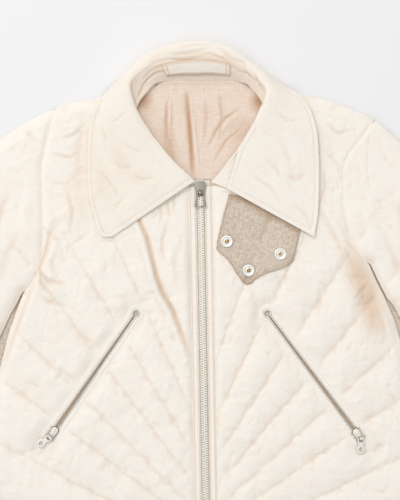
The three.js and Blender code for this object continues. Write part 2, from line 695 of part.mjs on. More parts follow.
function buildMainZip() {
  const strip = (fromOff, toOff, fromY, toY) => [
    new THREE.Vector2(zipX(fromY) + fromOff, fromY), new THREE.Vector2(zipX(fromY) + toOff, fromY),
    new THREE.Vector2(zipX(toY) + toOff, toY), new THREE.Vector2(zipX(toY) + fromOff, toY),
  ];
  const halfTape = ZIP.tape / 2;
  const tapeTopZ = ZIP.tapeZ + ZIP.tapeThick;
  const tapeStrip = strip(-halfTape, halfTape, HEM_Y + ZIP.tapeStart, ZIP.tapeTopY);
  addPiece('zip_tape', flatPiece(tapeStrip, ZIP.tapeZ, tapeTopZ), tape);
  const chain = strip(-ZIP.chain / 2, ZIP.chain / 2, HEM_Y + ZIP.chainStart, ZIP_TOP_Y - GAP);
  addPiece('zip_chain', flatPiece(chain, tapeTopZ + GAP, ZIP.chainTop), nickel);

  const frame = new THREE.Group();
  frame.position.set(zipX(ZIP_TOP_Y + SLIDER.length / 2), ZIP_TOP_Y, 0);
  jacket.add(frame);
  const { length, wide, narrow, top } = SLIDER;
  const body = [
    [-narrow / 2, 0], [narrow / 2, 0], [wide / 2, length * 0.45], [wide / 2, length * 0.8],
    [wide / 4, length], [-wide / 4, length], [-wide / 2, length * 0.8], [-wide / 2, length * 0.45],
  ].map(([x, y]) => new THREE.Vector2(x, y));
  const bridge = bridgeGeometry(top);
  bridge.rotateZ(-Math.PI / 2);
  bridge.translate(0, BRIDGE.outer, 0);
  const throat = narrow / 2;
  const stem = [[-throat, 0], [throat, 0], [throat, length], [-throat, length]]
    .map(([x, y]) => new THREE.Vector2(x, y));
  const plate = toManifold(flatPiece(body, SLIDER.plateZ, top));
  const solid = plate.add(toManifold(flatPiece(stem, tapeTopZ + GAP, top))).add(toManifold(bridge));
  addPiece('zip_slider', fromManifold(solid), nickel, frame);
  const pull = ringPull();
  pull.translate(0, BRIDGE.outer, top + BRIDGE.lift);
  addPiece('zip_pull', pull, nickel, frame);

  const opening = ZIP.opening / 2;
  for (const [side, sign] of Object.entries(SIDE)) {
    const outer = opening + ZIP.placket - GAP;
    const edge = sign < 0 ? [-outer, -opening] : [opening, outer];
    const rows = 12;
    const point = (z) => (i, j) => {
      const y = lerp(HEM_Y, FRONT_TOP_Y, i / rows);
      return [zipX(y) + edge[j], y, z(j)];
    };
    const topZ = () => FULL_Z - GROOVE * 0.4;
    addPiece(`placket_${side}`, slab(rows, 1, point(() => INNER_Z + AIR), point(topZ)), cloth);
  }
}

// ---- body ----------------------------------------------------------------------------------------
function frontOutline(side) {
  const o = outlines[side];
  const seamX = (y) => zipX(y) + o.sign * (ZIP.opening / 2 + ZIP.placket);
  return [
    new THREE.Vector2(seamX(HEM_Y), HEM_Y),
    ...[...o.bodySide].reverse(),
    ...[...o.armhole].reverse().slice(1),
    ...[...o.shoulder].reverse().slice(1),
    new THREE.Vector2(seamX(o.shoulder[0].y), o.shoulder[0].y),
  ];
}

function neckHole() {
  const { right, left } = outlines;
  return [...right.neckline, ...[...left.neckline].reverse()];
}

function fanBlanket(side) {
  const sign = SIDE[side];
  const lines = QUILT[side];
  const angles = [];
  for (let i = 1; i < lines.length; i += 1) {
    for (const share of FAN_GRID.shares) {
      angles.push(lerp(lines[i - 1], lines[i], share));
    }
  }
  angles.push(lines.at(-1));
  const { from, to, rings } = FAN_GRID;
  const spot = (i, j) => {
    const radius = lerp(from, to, i / rings);
    const angle = radians(angles[j]);
    return [sign * (radius * Math.sin(angle) - QUILT.across), QUILT.y + radius * Math.cos(angle)];
  };
  const lowerPoint = (i, j) => [...spot(i, j), innerZ(...spot(i, j))];
  const upperPoint = (i, j) => [...spot(i, j), upperZ(...spot(i, j))];
  return slab(rings, angles.length - 1, lowerPoint, upperPoint);
}

function buildBody() {
  const { right, left } = outlines;
  const backNeck = BACK_NECK.map(([x, y]) => new THREE.Vector2(x, y));
  const back = [
    ...[...right.bodySide].reverse(), ...[...right.armhole].reverse().slice(1),
    ...[...right.shoulder].reverse().slice(1), ...backNeck,
    ...left.shoulder, ...left.armhole.slice(1), ...left.bodySide.slice(1),
  ];
  addPiece('back', flatPiece(back, 0, WALL), cloth);
  for (const side of Object.keys(SIDE)) {
    const holes = [neckHole(), pocketSlit(side)];
    addPiece(`front_${side}`, cutCloth(fanBlanket(side), frontOutline(side), holes, innerZ, upperZ), cloth);
  }
}

function gridBlanket(x0, x1, y0, y1, step, lower, upper) {
  const rows = Math.round((x1 - x0) / step);
  const columns = Math.round((y1 - y0) / step);
  const spot = (i, j) => [lerp(x0, x1, i / rows), lerp(y0, y1, j / columns)];
  const lift = (height) => (i, j) => [...spot(i, j), height(...spot(i, j))];
  return slab(rows, columns, lift(lower), lift(upper));
}

function buildLining() {
  const { inX, inY, frontTopY, top, puff, fromY, toY, fade } = LINING;
  const inside = (side) => outlines[side].neckline.filter((p) => p.y < frontTopY)
    .map((p) => new THREE.Vector2(p.x + SIDE[side] * inX, p.y - inY));
  const backEdge = LINING_BACK.map(([x, y]) => new THREE.Vector2(x, y));
  const outline = [...inside('right').reverse(), ...inside('left'), ...backEdge];
  const wave = (x) => 0.5 * Math.sin((x + 8) / 9) * Math.exp(-((x / 60) ** 2));
  const lower = () => INNER_Z;
  const upper = (x, y) => {
    const loose = y > fromY && y < toY ? puff + wave(x) : 0;
    return top + loose * smooth((toY - y) / fade) * smooth((y - fromY) / fade);
  };
  const blanket = gridBlanket(-110, 110, 130, 300, 17, lower, upper);
  addPiece('lining_back', cutCloth(blanket, outline, [], lower, upper), lining);
}

// ---- sleeves and gussets -------------------------------------------------------------------------
function sleeveOutline(side) {
  const o = outlines[side];
  const shift = (by) => (p) => new THREE.Vector2(p.x + o.sign * by, p.y);
  const armhole = o.armhole.slice(0, -1).map(shift(SEAM_SHIFT));
  const inner = o.sleeveInner.map(shift(ARMPIT_SHIFT));
  const outer = resample(o.sleeveOuter.map(shift(SEAM_SHIFT)), SLEEVE_STEPS);
  return [...armhole, ...inner, ...outer.slice(1).reverse()];
}

// A blanket laid along the sleeve, from above its shoulder tip to past the cuff.
function sleeveBlanket(side) {
  const sign = SIDE[side];
  const { startOut, startY, slope, from, to, inside, outside, alongStep, acrossStep } = SLEEVE_GRID;
  const rows = Math.round((to - from) / alongStep);
  const columns = Math.round((outside - inside) / acrossStep);
  const spot = (i, j) => {
    const s = lerp(from, to, i / rows);
    const t = lerp(inside, outside, j / columns);
    const out = startOut + s * Math.cos(radians(slope)) + t * Math.sin(radians(slope));
    return [sign * out, startY - s * Math.sin(radians(slope)) + t * Math.cos(radians(slope))];
  };
  const lift = (height) => (i, j) => [...spot(i, j), height(...spot(i, j))];
  return slab(rows, columns, lift(innerZ), lift(upperZ));
}

function buildSleeve(side) {
  const outline = sleeveOutline(side);
  addPiece(`sleeve_top_${side}`, cutCloth(sleeveBlanket(side), outline, [], innerZ, upperZ), cloth);
  addPiece(`sleeve_under_${side}`, flatPiece(outline, 0, WALL), cloth);
}

function buildGusset(side) {
  const o = outlines[side];
  const { endY, hem, least, thick } = GUSSET;
  const edge = (path, shift) => path.filter((p) => p.y > endY)
    .map((p) => new THREE.Vector2(p.x + o.sign * shift, p.y));
  const near = edge(o.bodySide, hem);
  const far = edge(o.sleeveInner, ARMPIT_SHIFT - hem);
  const apart = (p, q) => Math.abs(p.x - q.x) > least;
  const farX = (y) => {
    const i = far.findIndex((p) => p.y < y);
    const [a, b] = i > 0 ? [far[i - 1], far[i]] : [far.at(-2), far.at(-1)];
    return new THREE.Vector2(lerp(a.x, b.x, (y - a.y) / (b.y - a.y)), y);
  };
  const bodyEdge = near.filter((p) => apart(p, farX(p.y)) && Math.abs(farX(p.y).x) > Math.abs(p.x));
  const sleeveEdge = far.filter((p) => p.y <= bodyEdge[0].y);
  const outline = [...bodyEdge, ...sleeveEdge.reverse()];
  addPiece(`gusset_${side}`, flatPiece(outline, 0, thick), linen);
}

// ---- collar ----------------------------------------------------------------------------------------
// The highest cloth under a spot and close round it; nothing lies past the shoulder fold.
function support(x, y) {
  let best = 0;
  for (let k = 0; k <= PROBE.spots; k += 1) {
    const reach = k ? PROBE.reach : 0;
    const angle = (k * 2 * Math.PI) / PROBE.spots;
    const px = x + reach * Math.cos(angle);
    const py = y + reach * Math.sin(angle);
    const fold = outlines[px < 0 ? 'right' : 'left'].fold;
    const i = fold.findIndex((p) => Math.abs(p.x) > Math.abs(px));
    const foldY = i > 0 ? fold[i].y : BACK_NECK_Y;
    best = Math.max(best, py < foldY ? upperZ(px, py) : 0);
  }
  return best;
}

function columnCurve(pick) {
  const points = COLLAR_ROWS.map((row) => new THREE.Vector3(...pick(row)));
  return new THREE.CatmullRomCurve3(points, false, 'catmullrom', 0.5);
}

const halfCollar = COLLAR.thick / 2;
const wayOut = (row) => new THREE.Vector2(Math.cos(radians(row.bearing)), Math.sin(radians(row.bearing)));
const onCloth = (x, y, z, extra) => Math.max(z, support(x, y) + COLLAR.clear + halfCollar + extra);
const overTab = (x) => (x > 0 ? TAB.thick + TAB.lift : 0);
const isBack = (row) => row.neck[1] > 289;

const backSeamZ = INNER_Z + halfCollar + COLLAR.backSeamLift;
const neckCurve = columnCurve((row) => [...row.neck, isBack(row) ? backSeamZ : onCloth(...row.neck, 0, 0)]);
const lapOf = (row) => row.lap ?? 0;

// Where the fall is sewn to the stand: at the crest in front, a lap inside it round the back.
function seamPoint(row) {
  const [x, y, z] = row.fold ?? row.crest;
  const inward = new THREE.Vector2(row.neck[0] - x, row.neck[1] - y).setLength(lapOf(row));
  return [x + inward.x, y + inward.y, z - 0.12 * lapOf(row)];
}

const standTop = columnCurve((row) => {
  const [x, y, z] = seamPoint(row);
  return row.fold ? row.crest : [x, y, z - COLLAR.thick - COLLAR.standGap];
});
const backShare = columnCurve((row) => [lapOf(row) / COLLAR.lap, 0, 0]);
const foldStart = columnCurve(seamPoint);
const edgeCurve = columnCurve((row) => row.edge);
const bulgeCurve = columnCurve((row) => {
  const [x, y, z] = row.fold ?? row.crest;
  return [x + wayOut(row).x * row.bulge, y + wayOut(row).y * row.bulge, z + 0.2 * lapOf(row)];
});
const tuckCurve = columnCurve((row) => {
  const [x, y, z] = row.edge;
  return [x + wayOut(row).x * row.tuck, y + wayOut(row).y * row.tuck, z];
});

function standPoint(u, v) {
  const neck = neckCurve.getPoint(u);
  const top = standTop.getPoint(u);
  const back = clamp01(backShare.getPoint(u).x);
  const control = new THREE.Vector3().lerpVectors(neck, top, lerp(0.95, 0.55, back));
  control.z = lerp(neck.z, top.z, lerp(0.2, 0.95, back));
  return new THREE.QuadraticBezierCurve3(neck, control, top).getPoint(v);
}

function fallPoint(u, v) {
  const controls = [foldStart, bulgeCurve, tuckCurve, edgeCurve].map((column) => column.getPoint(u));
  const point = new THREE.CubicBezierCurve3(...controls).getPoint(v);
  if (point.y < COLLAR.restY || point.z > COLLAR.restZ) {
    point.z = onCloth(point.x, point.y, point.z, overTab(point.x));
  }
  return point;
}

function buildCollar() {
  const around = 2 * (COLLAR_ROWS.length - 1);
  addPiece('collar_stand', shell(around, 4, standPoint, COLLAR.thick), cloth);
  addPiece('collar_fall', shell(around, 9, fallPoint, COLLAR.thick), cloth);
  const hanger = (u, v) => {
    const point = standPoint(lerp(HANGER.from, HANGER.to, u), lerp(HANGER.low, HANGER.high, v));
    const ends = Math.sin(Math.PI * u);
    point.y -= HANGER.back;
    point.z += halfCollar + HANGER.lift + HANGER.sag * ends + 0.5 * Math.sin(9 * u) * ends;
    return point;
  };
  addPiece('hanger_loop', shell(16, 2, hanger, HANGER.thick), cloth);
}

// ---- throat tab --------------------------------------------------------------------------------------
function tabBase(x, y) {
  return upperZ(x, y) + TAB.lift;
}

function buildTab() {
  const corners = [...TAB_OUTLINE, TAB_OUTLINE[0]].map(([x, y]) => new THREE.Vector2(x, y));
  const outline = splinePoints(corners, 52).slice(0, -1);
  const top = (x, y) => tabBase(x, y) + TAB.thick;
  const blanket = gridBlanket(0, 150, 10, 160, 16, tabBase, top);
  addPiece('throat_tab', cutCloth(blanket, outline, [], tabBase, top), linen);
  for (const snap of SNAPS) {
    const profile = [
      [SNAP.inner, 0], [SNAP.outer, 0], [SNAP.outer, SNAP.height * 0.5], [SNAP.outer * 0.8, SNAP.height],
      [SNAP.inner + 1, SNAP.height], [SNAP.inner, SNAP.height * 0.6], [SNAP.inner, 0],
    ].map(([x, y]) => new THREE.Vector2(x, y));
    const geometry = new THREE.LatheGeometry(profile, 16);
    geometry.rotateX(Math.PI / 2);
    let base = top(snap.x, snap.y);
    for (let k = 0; k < 16; k += 1) {
      const angle = (k * Math.PI) / 8;
      const reach = SNAP.outer + 1;
      base = Math.max(base, top(snap.x + reach * Math.cos(angle), snap.y + reach * Math.sin(angle)));
    }
    addPiece(snap.name, geometry, nickel).position.set(snap.x, snap.y, base + GAP);
  }
}

buildBody();
buildMainZip();
for (const side of Object.keys(SIDE)) {
  buildSleeve(side);
  buildGusset(side);
  buildPocket(side);
}
buildLining();
buildCollar();
buildTab();

export default jacket;
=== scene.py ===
"""Quilted zip jacket, laid flat on its back: cloth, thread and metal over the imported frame.

The tables are in millimetres, +Z up and the neck towards +Y. The meshes are in metres.
"""

import logging
import math
from dataclasses import dataclass, field
from enum import Enum
from typing import Callable

import bmesh
import bpy
import numpy as np
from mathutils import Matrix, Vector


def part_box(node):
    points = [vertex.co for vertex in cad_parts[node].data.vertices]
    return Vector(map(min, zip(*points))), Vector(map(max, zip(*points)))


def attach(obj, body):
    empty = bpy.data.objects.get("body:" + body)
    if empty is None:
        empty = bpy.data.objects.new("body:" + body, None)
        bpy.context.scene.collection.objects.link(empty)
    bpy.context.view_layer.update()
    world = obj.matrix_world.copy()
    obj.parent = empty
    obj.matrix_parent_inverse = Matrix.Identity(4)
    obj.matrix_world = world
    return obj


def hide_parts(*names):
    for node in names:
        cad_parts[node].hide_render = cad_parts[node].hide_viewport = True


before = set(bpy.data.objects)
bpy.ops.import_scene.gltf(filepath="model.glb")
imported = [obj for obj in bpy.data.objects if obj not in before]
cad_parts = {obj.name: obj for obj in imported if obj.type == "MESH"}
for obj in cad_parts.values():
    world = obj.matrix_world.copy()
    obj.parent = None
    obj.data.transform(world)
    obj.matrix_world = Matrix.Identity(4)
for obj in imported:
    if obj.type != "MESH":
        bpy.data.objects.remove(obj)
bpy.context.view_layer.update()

log = logging.getLogger("jacket")

MM = 0.001
Array = np.ndarray
Point = tuple[float, float, float]
Colour = tuple[float, float, float, float]
FAR = 1e9
UP = (0.0, 0.0, 1.0)
HOLLOW_TONE = 0.45  # fold shade of the hollows between creases

# ---- driving sizes, shared with the part's source ----
WALL = 3.0
EDGE_WALL = 1.5
AIR = 3.0
ROLL_WIDTH = 26.0
GROOVE = 1.0
HEM_Y = -345.5
ZIP_TOP_Y = 141.5
FRONT_TOP_Y = 154.0
INNER_Z = 3.3
FULL_Z = INNER_Z + AIR + WALL
SEAM_SHIFT = 0.5
ARMPIT_SHIFT = 1.6


class Side(Enum):
    """The wearer's side of the jacket."""

    RIGHT = "right"
    LEFT = "left"

    @property
    def sign(self) -> int:
        """-1 for the wearer's right, which lies at -X, and 1 for the left."""
        return -1 if self is Side.RIGHT else 1


# ---- small maths ----
def smooth(t: Array | float) -> Array:
    """Eases 0..1 with level ends."""
    t = np.clip(t, 0.0, 1.0)
    return t * t * (3.0 - 2.0 * t)


def lerp(a: Array | float, b: Array | float, t: Array | float) -> Array:
    """Blends a to b."""
    return a + (b - a) * t


def bell(v: Array, width: float) -> Array:
    """1 where v is 0, falling to nothing a few widths away."""
    return np.exp(-((v / width) ** 2))


def unit(v: Array) -> Array:
    """Vectors of length one along the last axis."""
    return v / np.maximum(np.linalg.norm(v, axis=-1, keepdims=True), 1e-12)


def curve(points: list | Array, count: int, drawn_out: bool = False) -> Array:
    """Points on an even Catmull-Rom curve through the given points.

    Args:
        points: the points to pass through.
        count: number of spans in the result.
        drawn_out: continue straight past the ends, and not hold the end points.

    Returns:
        count + 1 points.
    """
    return curve_at(points, np.linspace(0.0, 1.0, count + 1), drawn_out)


def curve_at(points: list | Array, share: Array, drawn_out: bool = False) -> Array:
    """The same curve at given shares of its whole parameter.

    Args:
        points: the points to pass through.
        share: parameter values from 0 to 1.
        drawn_out: continue straight past the ends.

    Returns:
        One point for each share.
    """
    p = np.asarray(points, float)
    if drawn_out:
        p = np.vstack([2 * p[0] - p[1], p, 2 * p[-1] - p[-2]])
    else:
        p = np.vstack([p[0], p, p[-1]])
    spans = len(p) - 3
    t = np.clip(share, 0, 1) * spans
    i = np.minimum(t.astype(int), spans - 1)
    w = (t - i)[..., None]
    a, b, c, d = p[i], p[i + 1], p[i + 2], p[i + 3]
    v0, v1 = (c - a) / 2, (d - b) / 2
    return (2 * b - 2 * c + v0 + v1) * w**3 + (-3 * b + 3 * c - 2 * v0 - v1) * w**2 + v0 * w + b


def path_field(x: Array, y: Array, path: Array) -> tuple[Array, Array]:
    """Distance to a polyline, with the side as its sign, and the share of the way along it.

    Args:
        x, y: places in plan.
        path: the polyline's points.

    Returns:
        Signed distance (positive on the left of its way) and share along.
    """
    best = np.full(np.shape(x), FAR)
    signed = np.full(np.shape(x), FAR)
    share = np.zeros(np.shape(x))
    lengths = np.hypot(*(path[1:] - path[:-1]).T)
    total, gone = max(lengths.sum(), 1e-9), 0.0
    for a, b, length in zip(path[:-1], path[1:], lengths):
        dx, dy = b - a
        t = np.clip(((x - a[0]) * dx + (y - a[1]) * dy) / max(length**2, 1e-12), 0, 1)
        ox, oy = x - a[0] - t * dx, y - a[1] - t * dy
        d = np.hypot(ox, oy)
        near = d < best
        best = np.where(near, d, best)
        signed = np.where(near, np.where(dx * oy - dy * ox >= 0, d, -d), signed)
        share = np.where(near, (gone + t * length) / total, share)
        gone += length
    return signed, share


def distance(x: Array, y: Array, path: Array) -> Array:
    """Distance in plan to a polyline."""
    return np.abs(path_field(x, y, path)[0])


def resample(path: Array, pitch: float = 0.0, count: int = 0) -> Array:
    """Even places along a polyline of any dimension.

    Args:
        path: the polyline's points.
        pitch: distance between places; a shorter last step is left out.
        count: number of places from end to end, where no pitch is given.

    Returns:
        One row for each place.
    """
    gone = np.concatenate([[0.0], np.cumsum(np.linalg.norm(np.diff(path, axis=0), axis=1))])
    at = np.arange(0.0, gone[-1], pitch) if pitch else np.linspace(0.0, gone[-1], count)
    return np.stack([np.interp(at, gone, path[:, k]) for k in range(path.shape[1])], axis=1)


class Noise:
    """Smooth value noise from a fixed seed."""

    SIZE = 128

    def __init__(self, seed: int) -> None:
        """Draws the lattice once.

        Args:
            seed: fixed seed, so that each run gives the same cloth.
        """
        self.lattice = np.random.default_rng(seed).random((self.SIZE, self.SIZE)) * 2 - 1

    def at(self, x: Array, y: Array) -> Array:
        """Value from -1 to 1 at a place in lattice units.

        Args:
            x, y: places in lattice units.

        Returns:
            One value for each place.
        """
        xi, yi = np.floor(x).astype(int), np.floor(y).astype(int)
        fx, fy = smooth(x - xi), smooth(y - yi)
        size, table = self.SIZE, self.lattice
        low = lerp(table[xi % size, yi % size], table[(xi + 1) % size, yi % size], fx)
        high = lerp(table[xi % size, (yi + 1) % size], table[(xi + 1) % size, (yi + 1) % size], fx)
        return lerp(low, high, fy)


# ---- pattern ----
def zip_x(y: Array | float) -> Array:
    """The leaning zip's middle line."""
    return -2.0 + (ZIP_TOP_Y - y) * 0.018


@dataclass
class SidePattern:
    """Outline curves of one side of the jacket, as places in plan."""

    side: Side
    shoulder_and_sleeve: tuple = (
        # out, right y, left y
        (59, 287.5, 287.5), (95, 280, 281), (132, 268.7, 272.5), (160, 264.4, 267.3), (180, 259.4, 260),
        (204.7, 250.1, 250.1), (231.4, 235.6, 236.2), (262.6, 214.8, 208), (321, 161, 158),
        (387.4, 85.8, 84), (452, -88, -88), (516, -295, -295),
    )
    armhole_rows: tuple = (
        # right out, right y, left out, left y
        (193, 254.7, 225, 239.6), (202.4, 214.5, 204, 212), (210, 172, 186, 184), (208.4, 120, 184, 148),
        (209, 70, 187.5, 108), (216, 38, 200, 73), (233.6, 13.8, 219, 50.7),
    )
    body_side_rows: tuple = (
        (233.6, 13.8, 219, 50.7), (240, -2.5, 228.5, 29), (246, -19.4, 240, 5.5), (256.8, -54.2, 257, -39),
        (277, -150, 275.6, -125), (279, -250, 279, -235), (275.6, HEM_Y, 275.6, HEM_Y),
    )
    sleeve_inner_rows: tuple = (
        (233.6, 13.8, 219, 50.7), (241.5, -2, 229, 29.4), (250.6, -18, 241.4, 6), (263, -45, 258.4, -21),
        (330, -188, 328, -178), (403, -344.5, 403, -344.5),
    )
    neckline_rows: tuple = (
        # y, right out, left out
        (FRONT_TOP_Y, 10, 12), (160, 31, 34), (170, 46, 49), (195, 68, 65), (222, 82, 77), (243, 87, 81),
        (262, 82, 78), (277, 70, 68), (292, 56, 54),
    )
    quilt_degrees: dict = field(default_factory=lambda: {
        Side.RIGHT: (9, 19.6, 24.3, 30.5, 37, 45, 52.5, 62.5, 72.5, 83, 93),
        Side.LEFT: (9, 20, 26, 33, 40, 47.5, 55, 64.5, 74, 83.5, 93),
    })
    pocket_ends: dict = field(default_factory=lambda: {
        # ring end, slider
        Side.RIGHT: ((-86, -12.5), (-194, -168)),
        Side.LEFT: ((85, -12.5), (203, -170)),
    })

    def __post_init__(self) -> None:
        """Draws the curves from the tables."""
        sign, col = self.side.sign, 0 if self.side is Side.RIGHT else 1
        self.fold = curve([(sign * r[0], r[1 + col]) for r in self.shoulder_and_sleeve], 220)
        self.armhole = self._pair(self.armhole_rows, 60)
        self.body_side = self._pair(self.body_side_rows, 80)
        self.sleeve_inner = self._pair(self.sleeve_inner_rows, 80)
        self.neckline = curve([(sign * r[1 + col], r[0]) for r in self.neckline_rows], 72)
        tip = self.armhole[0]
        self.shoulder = np.vstack([self.fold[np.abs(self.fold[:, 0]) < abs(tip[0]) - 3], tip])
        self.sleeve_outer = np.vstack([tip, self.fold[np.abs(self.fold[:, 0]) > abs(tip[0]) + 3]])
        self.ring_end, self.slider = (np.array(p, float) for p in self.pocket_ends[self.side])

    def _pair(self, rows: tuple, count: int) -> Array:
        """A curve from a table with a right pair and a left pair of columns."""
        k = 0 if self.side is Side.RIGHT else 2
        return curve([(self.side.sign * r[k], r[k + 1]) for r in rows], count)

    def zip_seam(self, y: Array) -> Array:
        """Where the front meets its placket."""
        return zip_x(y) + self.side.sign * (ZIP_OPENING / 2 + PLACKET_WIDTH)

    def inner_out(self, y: Array) -> Array:
        """Distance out of the front's inner edge: zip seam, then neckline."""
        seam = np.abs(self.zip_seam(y))
        neck = np.interp(y, self.neckline[:, 1], np.abs(self.neckline[:, 0]))
        return np.where(y < FRONT_TOP_Y, seam, np.maximum(seam, neck))

    def outer_out(self, y: Array) -> Array:
        """Distance out of the front's outer edge: body side, armhole, then shoulder."""
        path = np.vstack([self.body_side[::-1], self.armhole[::-1][1:], self.shoulder[::-1][1:]])
        return np.interp(y, path[:, 1], np.abs(path[:, 0]))

    @property
    def pocket_length(self) -> float:
        """Length of the pocket's mouth."""
        return float(np.linalg.norm(self.ring_end - self.slider))

    def pocket_point(self, s: Array | float, t: Array | float) -> Array:
        """Place given along the mouth from the slider (s) and across it (t).

        Args:
            s: distances along the mouth.
            t: distances across it.

        Returns:
            Places in plan.
        """
        along = (self.ring_end - self.slider) / self.pocket_length
        across = np.array([-along[1], along[0]])
        s, t = np.broadcast_arrays(np.asarray(s, float), np.asarray(t, float))
        return self.slider + s[..., None] * along + t[..., None] * across

    def pocket_place(self, x: Array, y: Array) -> tuple[Array, Array]:
        """The (s, t) of a place in plan."""
        along = (self.ring_end - self.slider) / self.pocket_length
        dx, dy = x - self.slider[0], y - self.slider[1]
        return dx * along[0] + dy * along[1], -dx * along[1] + dy * along[0]


ZIP_OPENING = 10.4
PLACKET_WIDTH = 9.2
PATTERN = {side: SidePattern(side) for side in Side}


@dataclass(frozen=True)
class Crease:
    """One fold or wrinkle that the lying cloth holds."""

    path: tuple[tuple[float, float], ...]
    width: float
    rise: float
    lean: float = 0.0  # above 0 the left flank is the steeper one

    def height(self, x: Array, y: Array) -> Array:
        """Height that it adds, fading at both ends.

        Args:
            x, y: places in plan.

        Returns:
            Heights in millimetres.
        """
        signed, share = path_field(x, y, np.array(self.path, float))
        flank = self.width * np.where(signed > 0, 1 - self.lean, 1 + self.lean)
        fade = np.sin(np.pi * np.clip(share, 0.02, 0.98)) ** 0.6
        return self.rise * fade * bell(signed, flank)

    def shade(self, x: Array, y: Array) -> Array:
        """Painted shade down in a trough, 0 to 1; none on a ridge."""
        return np.clip(-self.height(x, y) * 0.36, 0, 1)


def creased(x: Array, y: Array, creases: tuple[Crease, ...]) -> tuple[Array, Array]:
    """Summed height and deepest painted shade of several creases."""
    return sum(c.height(x, y) for c in creases), np.maximum.reduce([c.shade(x, y) for c in creases])


def crease(rise: float, width: float, *path: tuple[float, float], lean: float = 0.0) -> Crease:
    """Short form for the tables below."""
    return Crease(tuple(path), width, rise, lean)


BODY_CREASES = (
    # long fold from the right chest down to the zip, with the trough beside it
    crease(3.4, 7, (-92, 112), (-79, 90), (-65, 36), (-57, 13), (-44, -10), (-20, -74), lean=-0.4),
    crease(-4.4, 2.6, (-96, 140), (-85, 116), (-71.5, 87), (-58.5, 35), (-50.7, 14), (-37.7, -8), (-12, -76)),
    crease(-1.6, 2.6, (-44, 108), (-52, 80), (-50, 52)),
    crease(-2.8, 2.2, (-195, 96), (-205.4, 64), (-212, 48), (-208.6, 26), (-194, 6)),
    crease(-2.2, 1.8, (-212, 46), (-203, 31), (-193, 21)),
    crease(-1.5, 3.0, (-212, 44), (-231, -3), (-246, -45), (-259, -84)),
    crease(-1.4, 5.0, (-190, 110), (-203, 70), (-212, 44)),
    crease(2.0, 6, (-187, 88), (-196, 62), (-200.2, 54.6), (-196.3, 32.5), (-188, 8), lean=0.4),
    crease(-1.6, 2.6, (-208, 101), (-196, 88), (-182, 80)),
    crease(-1.8, 2.8, (-216, 40), (-200, 30), (-180, 26)),
    crease(-1.6, 2.6, (-214, 14), (-198, 2), (-176, -4)),
    crease(-1.5, 2.2, (-47, 138), (-43, 122), (-42, 112)),
    crease(-1.4, 2.0, (-38, 141), (-36, 128), (-37, 120)),
    crease(-1.3, 2.0, (-56, 132), (-53, 117), (-54, 104)),
    crease(-3.3, 15, (188, 70), (208, 32), (222, -10), (228, -46)),
    crease(-2.4, 2.4, (183, 78), (199, 47), (221, 31)),
    crease(-2.5, 2.2, (222, 35), (210, 18), (196, 3)),
    crease(-1.7, 2.6, (222, 20), (236, -22), (243, -52)),
    crease(-1.8, 2.2, (184, 84), (204, 66), (218, 50)),
    crease(-1.6, 2.6, (226, 36), (206, 30), (186, 38)),
    crease(-1.5, 2.4, (232, 8), (212, -2), (196, -4)),
    crease(-1.6, 3.0, (-176, 150), (-168, 120), (-172, 92)),
    crease(-0.9, 13, (-148, 250), (-156, 200), (-160, 150), (-150, 96)),
    crease(-1.2, 5, (-152, 240), (-161, 196), (-158, 150)),
    crease(-1.3, 2.4, (-150, 236), (-166, 220), (-186, 214)),
    crease(-1.2, 2.2, (-156, 200), (-172, 190), (-196, 196)),
    crease(-1.2, 2.2, (-160, 168), (-176, 156), (-198, 158)),
    crease(-1.3, 2.2, (160, 236), (178, 222), (196, 226)),
    crease(-1.2, 2.2, (164, 196), (178, 180), (182, 160)),
    crease(-1.4, 2.6, (158, 176), (160, 150), (152, 128)),
    crease(1.2, 7, (-179.4, 223.6), (-163.8, 228.8), (-148.2, 232.7)),
    crease(-0.9, 3, (-182, 260), (-175.5, 248.3)),
    crease(-0.9, 3, (173.7, 262.6), (167.7, 249.6)),
    crease(
        2.0, 7, (150.8, 136.5), (161.2, 123.5), (174.2, 101.4), (184, 85.8), (192.4, 61.1), (216, 33),
        lean=0.3,
    ),
    crease(-1.3, 3.5, (146, 132), (156, 117), (168, 96), (178, 78), (187, 56), (210, 30)),
    crease(1.5, 6, (216, 32), (206.7, 22.1), (196.3, 1.3), (190, -20)),
    crease(-1.0, 3.5, (153, 22), (154, 0), (150, -14)),
    crease(-1.1, 4, (238, -10), (239, -36), (232, -60)),
    crease(-0.9, 2.6, (-113.1, 9.1), (-96.2, 9.1)),
    crease(-0.9, 2.6, (-76.7, 14.3), (-57.2, 14.3)),
    crease(-1.0, 3.2, (-167.7, -33.8), (-133.9, -57.2)),
    crease(-1.0, 3.2, (-192.4, -81.9), (-162.5, -100.1)),
    crease(1.0, 9, (-120, 60), (-150, 20), (-176, -30)),
    crease(0.9, 8, (-30, 120), (-42, 60), (-36, 10)),
    crease(0.8, 8, (30, 60), (52, 10), (60, -30)),
    crease(1.0, 9, (110, 70), (122, 20), (150, -20)),
    crease(-0.8, 4, (-22, 96), (-34, 60), (-33, 28)),
    crease(-0.8, 4, (62, 26), (72, -6), (70, -30)),
    crease(0.9, 8, (-240, -60), (-220, -120), (-196, -190)),
    crease(0.9, 8, (250, -70), (236, -140), (214, -200)),
    crease(-0.8, 4, (-90, -250), (-60, -290), (-20, -320)),
    crease(-0.8, 4, (96, -246), (70, -286), (28, -316)),
)
